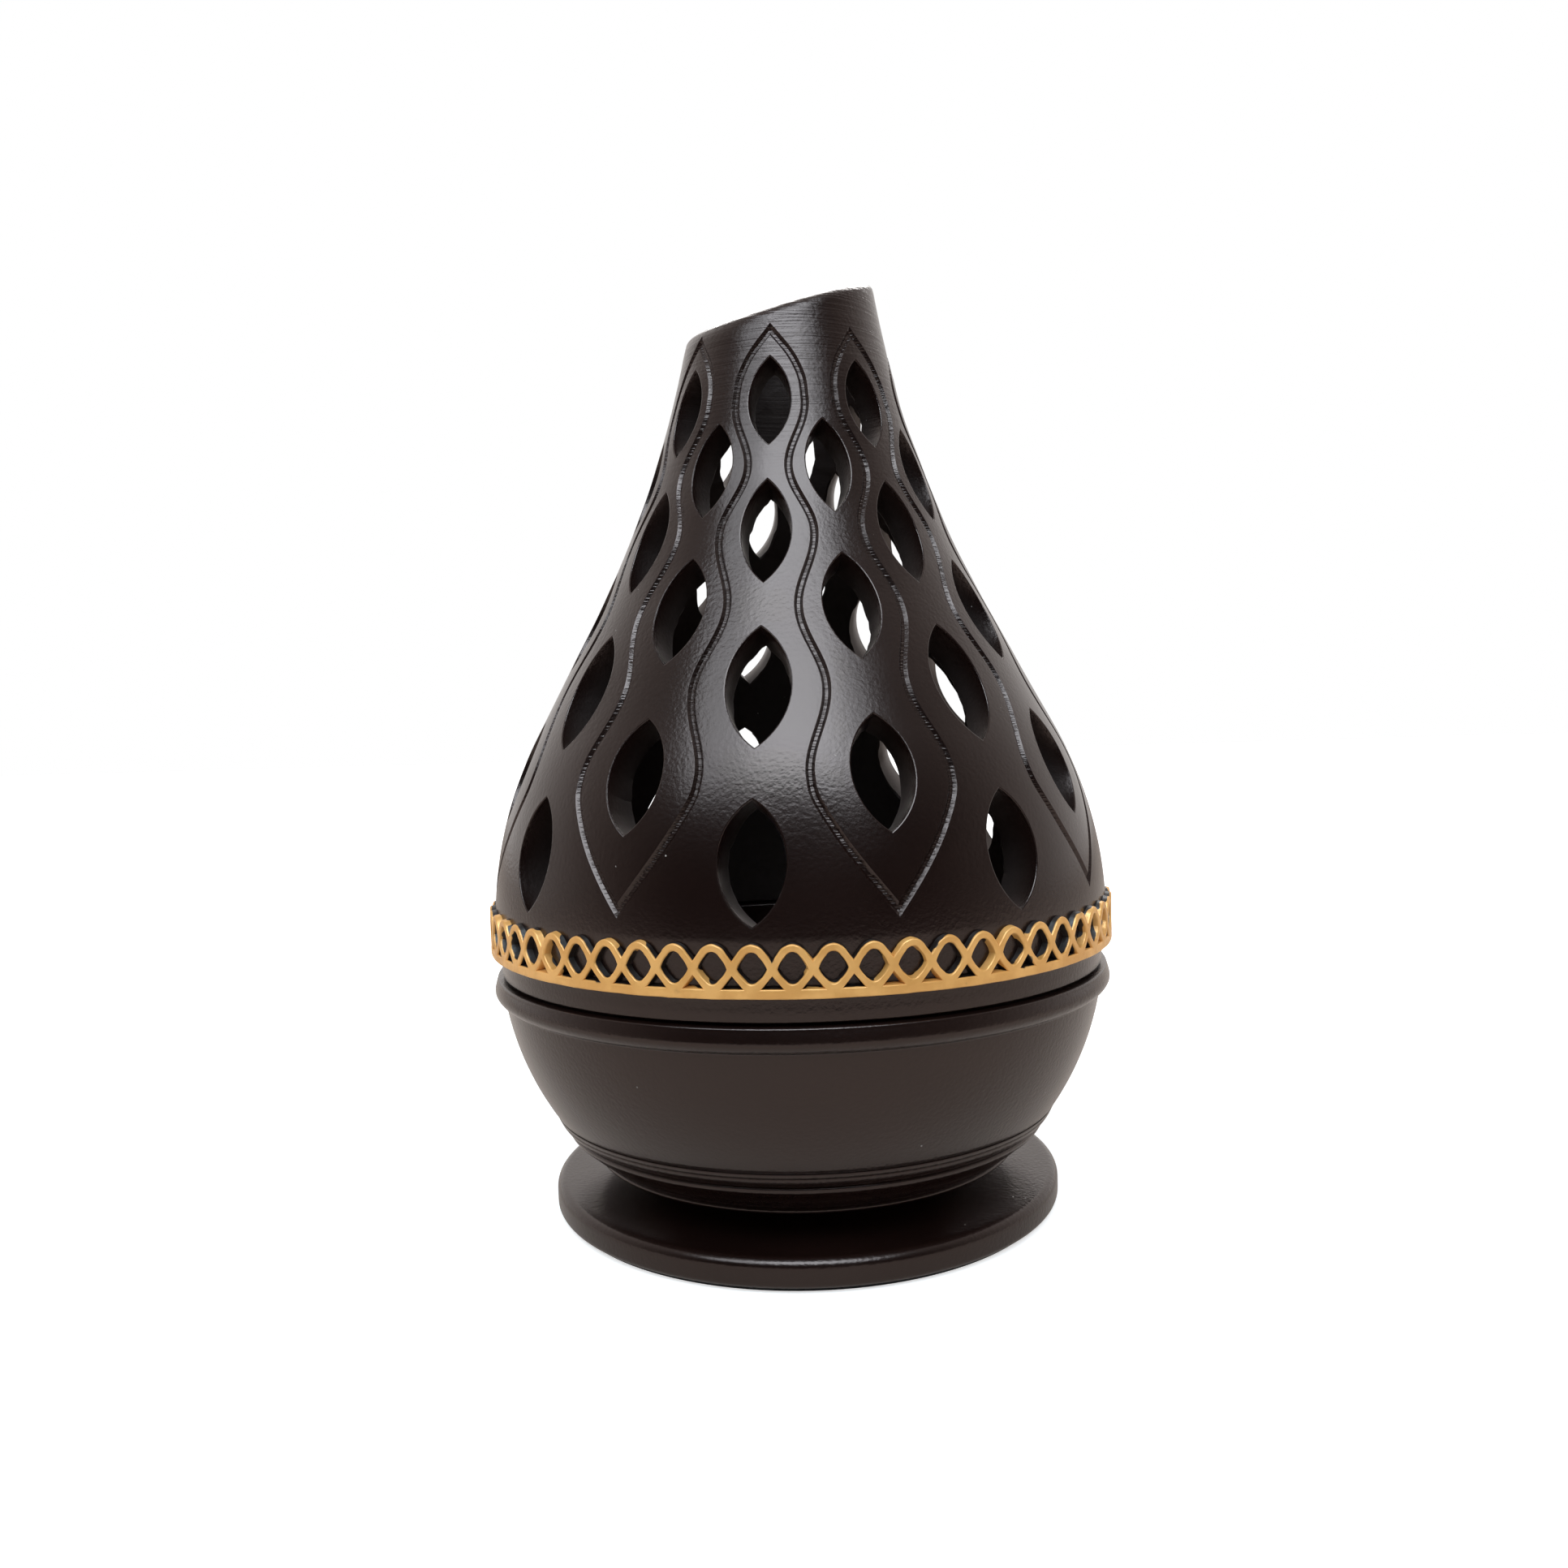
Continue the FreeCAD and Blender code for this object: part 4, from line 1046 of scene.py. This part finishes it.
def latticeOutlines(half):
    # Three arches side by side, with the relief on the left of every outline.
    size = lattice
    flank = [(half, size["valley"])] + [(half * share, height) for share, height in size["flank"]]
    flank += arcPoints(flank[-1], (0.0, size["height"]), size["archRound"], 8)
    side = [(0.0, size["diamondTop"])]
    for share, height, radius, steps in size["diamondSide"]:
        side += arcPoints(side[-1], (size["diamondWidth"] / 2 * share, height), -radius, steps)
    end = 3 * half + 1.2    # past the cut, so that no strand is too thin for its edges
    border = [(end * (step / 10 - 1), 0.0) for step in range(21)] + [(end, size["valley"])]
    openings = []
    for middle in (2 * half, 0.0, -2 * half):
        right = [(middle + x, y) for x, y in flank]
        border += right + mirrorLine(right, middle)[1:-1]
        lower = [(middle + x, y) for x, y in side]
        openings.append(lower[:-1] + mirrorLine(lower, middle)[:-1])
    border += [(-3 * half, size["valley"]), (-end, size["valley"])]
    for middle in (-half, half):
        openings.append([(middle, size["triangleTop"]), (middle + size["triangleBase"] / 2, size["rail"]),
                         (middle, size["rail"]), (middle - size["triangleBase"] / 2, size["rail"])])
    return [growLoop(loop, size["spread"]) for loop in [border] + openings]


def makeLattice():
    size = lattice
    half = size["radius"] * math.sin(math.pi / size["arches"])
    loops = latticeOutlines(half)
    clearSelection()
    for number, loop in enumerate(loops):
        bpy.ops.mesh.primitive_circle_add(vertices=len(loop), radius=1)
        if number == 0:
            piece = bpy.context.object
            piece.name = "gildedLattice"
            bpy.ops.object.mode_set(mode="EDIT")
    bpy.ops.object.mode_set(mode="OBJECT")
    for vert, (across, up) in zip(piece.data.vertices, [point for loop in loops for point in loop]):
        vert.co = (across, up, 0)
    editAll()
    bpy.ops.mesh.fill(use_beauty=True)
    bpy.ops.object.mode_set(mode="OBJECT")
    facesUp = piece.data.polygons[0].normal.z > 0
    editAll()
    if not facesUp:
        bpy.ops.mesh.flip_normals()
    bpy.ops.mesh.duplicate()
    for inward, upward in size["edge"]:
        bpy.ops.mesh.inset(thickness=inward, depth=upward, use_boundary=True, use_even_offset=True)
    # one arch is kept, wrapped round the dome and repeated
    for across, keepLeft in ((half, True), (-half, False)):
        bpy.ops.mesh.select_all(action="SELECT")
        bpy.ops.mesh.bisect(plane_co=(across, 0, 0), plane_no=(1, 0, 0),
                            clear_outer=keepLeft, clear_inner=not keepLeft)
    bpy.ops.object.mode_set(mode="OBJECT")
    start = math.radians(dome["turn"])
    for vert in piece.data.vertices:
        angle = start + vert.co.x / half * math.pi / size["arches"]
        vert.co = polar(angle, size["footRadius"] + vert.co.z, size["foot"] + vert.co.y)
    editAll()
    bpy.ops.mesh.spin(steps=size["arches"] - 1, dupli=True, angle=2 * math.pi * (1 - 1 / size["arches"]),
                      center=(0, 0, 0), axis=(0, 0, 1))
    weld(0.004)
    # cast by hand: no strand is quite even
    for vert in piece.data.vertices:
        wobble = unevenAt(vert.co, size["waves"])
        outward = Vector((vert.co.x, vert.co.y, 0)).normalized()
        vert.co += (wobble - outward * wobble.dot(outward)) * size["uneven"]
    print("lattice faces", len(piece.data.polygons))
    finishPiece(piece, goldPaint, ["lattice_band"], "lid", 40)


makeLattice()
print("lattice made")


studio = {
    "floor": (0.72, 0.72, 0.72),
    "floorPatch": (0.7092, 0.7092, 0.7092),
    "floorGlow": (0.62, 1.0),   # what the camera sees added to the floor, near the burner and far from it
    "floorGloss": 0.02,         # the same for reflections
    "warmFloor": (0.78, 0.67, 0.59),
    "tableEdge": (-0.34, -0.16),
    "room": (0.06, 0.06, 0.06),
    "ambient": (0.25, 0.65),    # from the front, from behind
    "tent": (-0.88, 0.78),
    "tentColour": (1.0, 0.95, 0.92),
    "front": 0.008,
    "floorRoughness": 0.7,
    "tableReach": (0.06, 0.30),     # the floor turns fully white between these distances
    "target": (0, 0, 0.08),
    "lamps": [  # name, place, size, power, colour, what it doesn't light
        ("overheadSoftbox", (-0.058, -0.388, 0.562), (0.76, 0.30), 4.0, (0.74, 0.89, 1.0), None),
        ("overheadSheen", (-0.005, -0.375, 0.575), (0.36, 0.31), 2.0, (0.74, 0.89, 1.0), "diffuse"),
        ("backSheen", (0.060, 0.400, 0.560), (0.50, 0.30), 3.0, (1, 1, 1), "diffuse"),
        ("leftSoftbox", (-0.75, -0.10, 0.45), (0.5, 0.6), 1.8, (1, 1, 1), "glossy"),
        ("rightSoftbox", (0.75, -0.10, 0.42), (0.5, 0.6), 1.8, (1, 1, 1), "glossy"),
    ],
}


def makeStage():
    clearSelection()
    bpy.ops.mesh.primitive_plane_add(size=4)
    floor = bpy.context.object
    floor.name = "floor"
    material, tree, shader, place = startMaterial("paleFloor")
    rays = addNode(tree, "ShaderNodeLightPath").outputs
    pale = addMix(tree, addPatches(tree, place, 3.0, 0.2, 0.8), studio["floor"], studio["floorPatch"])
    # In reflections the table is warmer and ends a little in front of the burner.
    past = addRange(tree, addParts(tree, place)["Y"], *studio["tableEdge"], 1.0, 0.0)
    mirrored = addMix(tree, past, studio["warmFloor"], studio["room"])
    # The sweep turns white away from the burner and keeps the shadow near it.
    seen = addMath(tree, "MAXIMUM", rays["Is Camera Ray"], rays["Is Transmission Ray"])
    away = addNode(tree, "ShaderNodeVectorMath", {0: place}, operation="LENGTH").outputs["Value"]
    glow = addRange(tree, away, *studio["tableReach"], *studio["floorGlow"])
    glossy = addMath(tree, "MULTIPLY", rays["Is Glossy Ray"], studio["floorGloss"])
    feed(tree, shader, {
        "Base Color": addMix(tree, rays["Is Glossy Ray"], pale, mirrored),
        "Roughness": studio["floorRoughness"],
        "Emission Color": (1, 1, 1),
        "Emission Strength": addMath(tree, "MULTIPLY_ADD", seen, glow, glossy),
    })
    floor.data.materials.append(material)

    world = bpy.data.worlds.new("whiteStudio")
    bpy.context.scene.world = world
    world.use_nodes = True
    tree = world.node_tree
    rays = addNode(tree, "ShaderNodeLightPath").outputs
    seen = addMath(tree, "MAXIMUM", rays["Is Camera Ray"], rays["Is Transmission Ray"])
    way = addParts(tree, addNode(tree, "ShaderNodeTexCoord").outputs["Generated"])["Y"]
    # The room in front of the burner is dim, the rest of the tent is white.
    glossy = addRange(tree, way, *studio["tent"], studio["front"], 1.0)
    strength = addMath(tree, "MAXIMUM", seen, addMath(tree, "MULTIPLY", rays["Is Glossy Ray"], glossy))
    other = addMath(tree, "SUBTRACT", 1.0, addMath(tree, "MAXIMUM", seen, rays["Is Glossy Ray"]))
    ambient = addRange(tree, way, *studio["tent"], *studio["ambient"])
    feed(tree, tree.nodes["Background"], {
        "Color": addMix(tree, seen, studio["tentColour"], (1, 1, 1)),
        "Strength": addMath(tree, "MULTIPLY_ADD", other, ambient, strength),
    })


def addSoftbox(name, place, size, power, colour, unlit):
    clearSelection()
    bpy.ops.object.light_add(type="AREA", location=place)
    lamp = bpy.context.object
    lamp.name = name
    lamp.data.shape = "RECTANGLE"
    lamp.data.size, lamp.data.size_y = size
    lamp.data.energy = power
    lamp.data.color = colour
    lamp.rotation_euler = (Vector(studio["target"]) - Vector(place)).to_track_quat("-Z", "Y").to_euler()
    lamp.visible_diffuse = unlit != "diffuse"
    lamp.visible_glossy = unlit != "glossy"


# The camera as fitted to the photo's round edges.
view = {
    "place": (-0.00015, -0.19473, 0.07342),
    "turns": (-0.52, -3.21, -1.60),     # yaw, pitch and roll
    "sensor": 36,
    "lens": 29.22,
    "nearest": 0.01,
}


def addCamera():
    yaw, pitch, roll = (math.radians(turn) for turn in view["turns"])
    forward = Vector((math.sin(yaw) * math.cos(pitch), math.cos(yaw) * math.cos(pitch), math.sin(pitch)))
    right = Vector((math.cos(yaw), -math.sin(yaw), 0))
    upward = right.cross(forward)
    right = right * math.cos(roll) + upward * math.sin(roll)
    upward = right.cross(forward)
    clearSelection()
    bpy.ops.object.camera_add(location=view["place"])
    camera = bpy.context.object
    camera.rotation_euler = Matrix((right, upward, -forward)).transposed().to_euler()
    camera.data.sensor_width = view["sensor"]
    camera.data.lens = view["lens"]
    camera.data.clip_start = view["nearest"]
    bpy.context.scene.camera = camera


makeStage()
for lamp in studio["lamps"]:
    addSoftbox(*lamp)
addCamera()
bpy.context.scene.view_settings.view_transform = "Standard"
print("stage, lamps and camera set")

for name, material in innerPaints.items():
    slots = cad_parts[name].data.materials
    slots.clear()
    slots.append(material)
print("inner pieces painted")
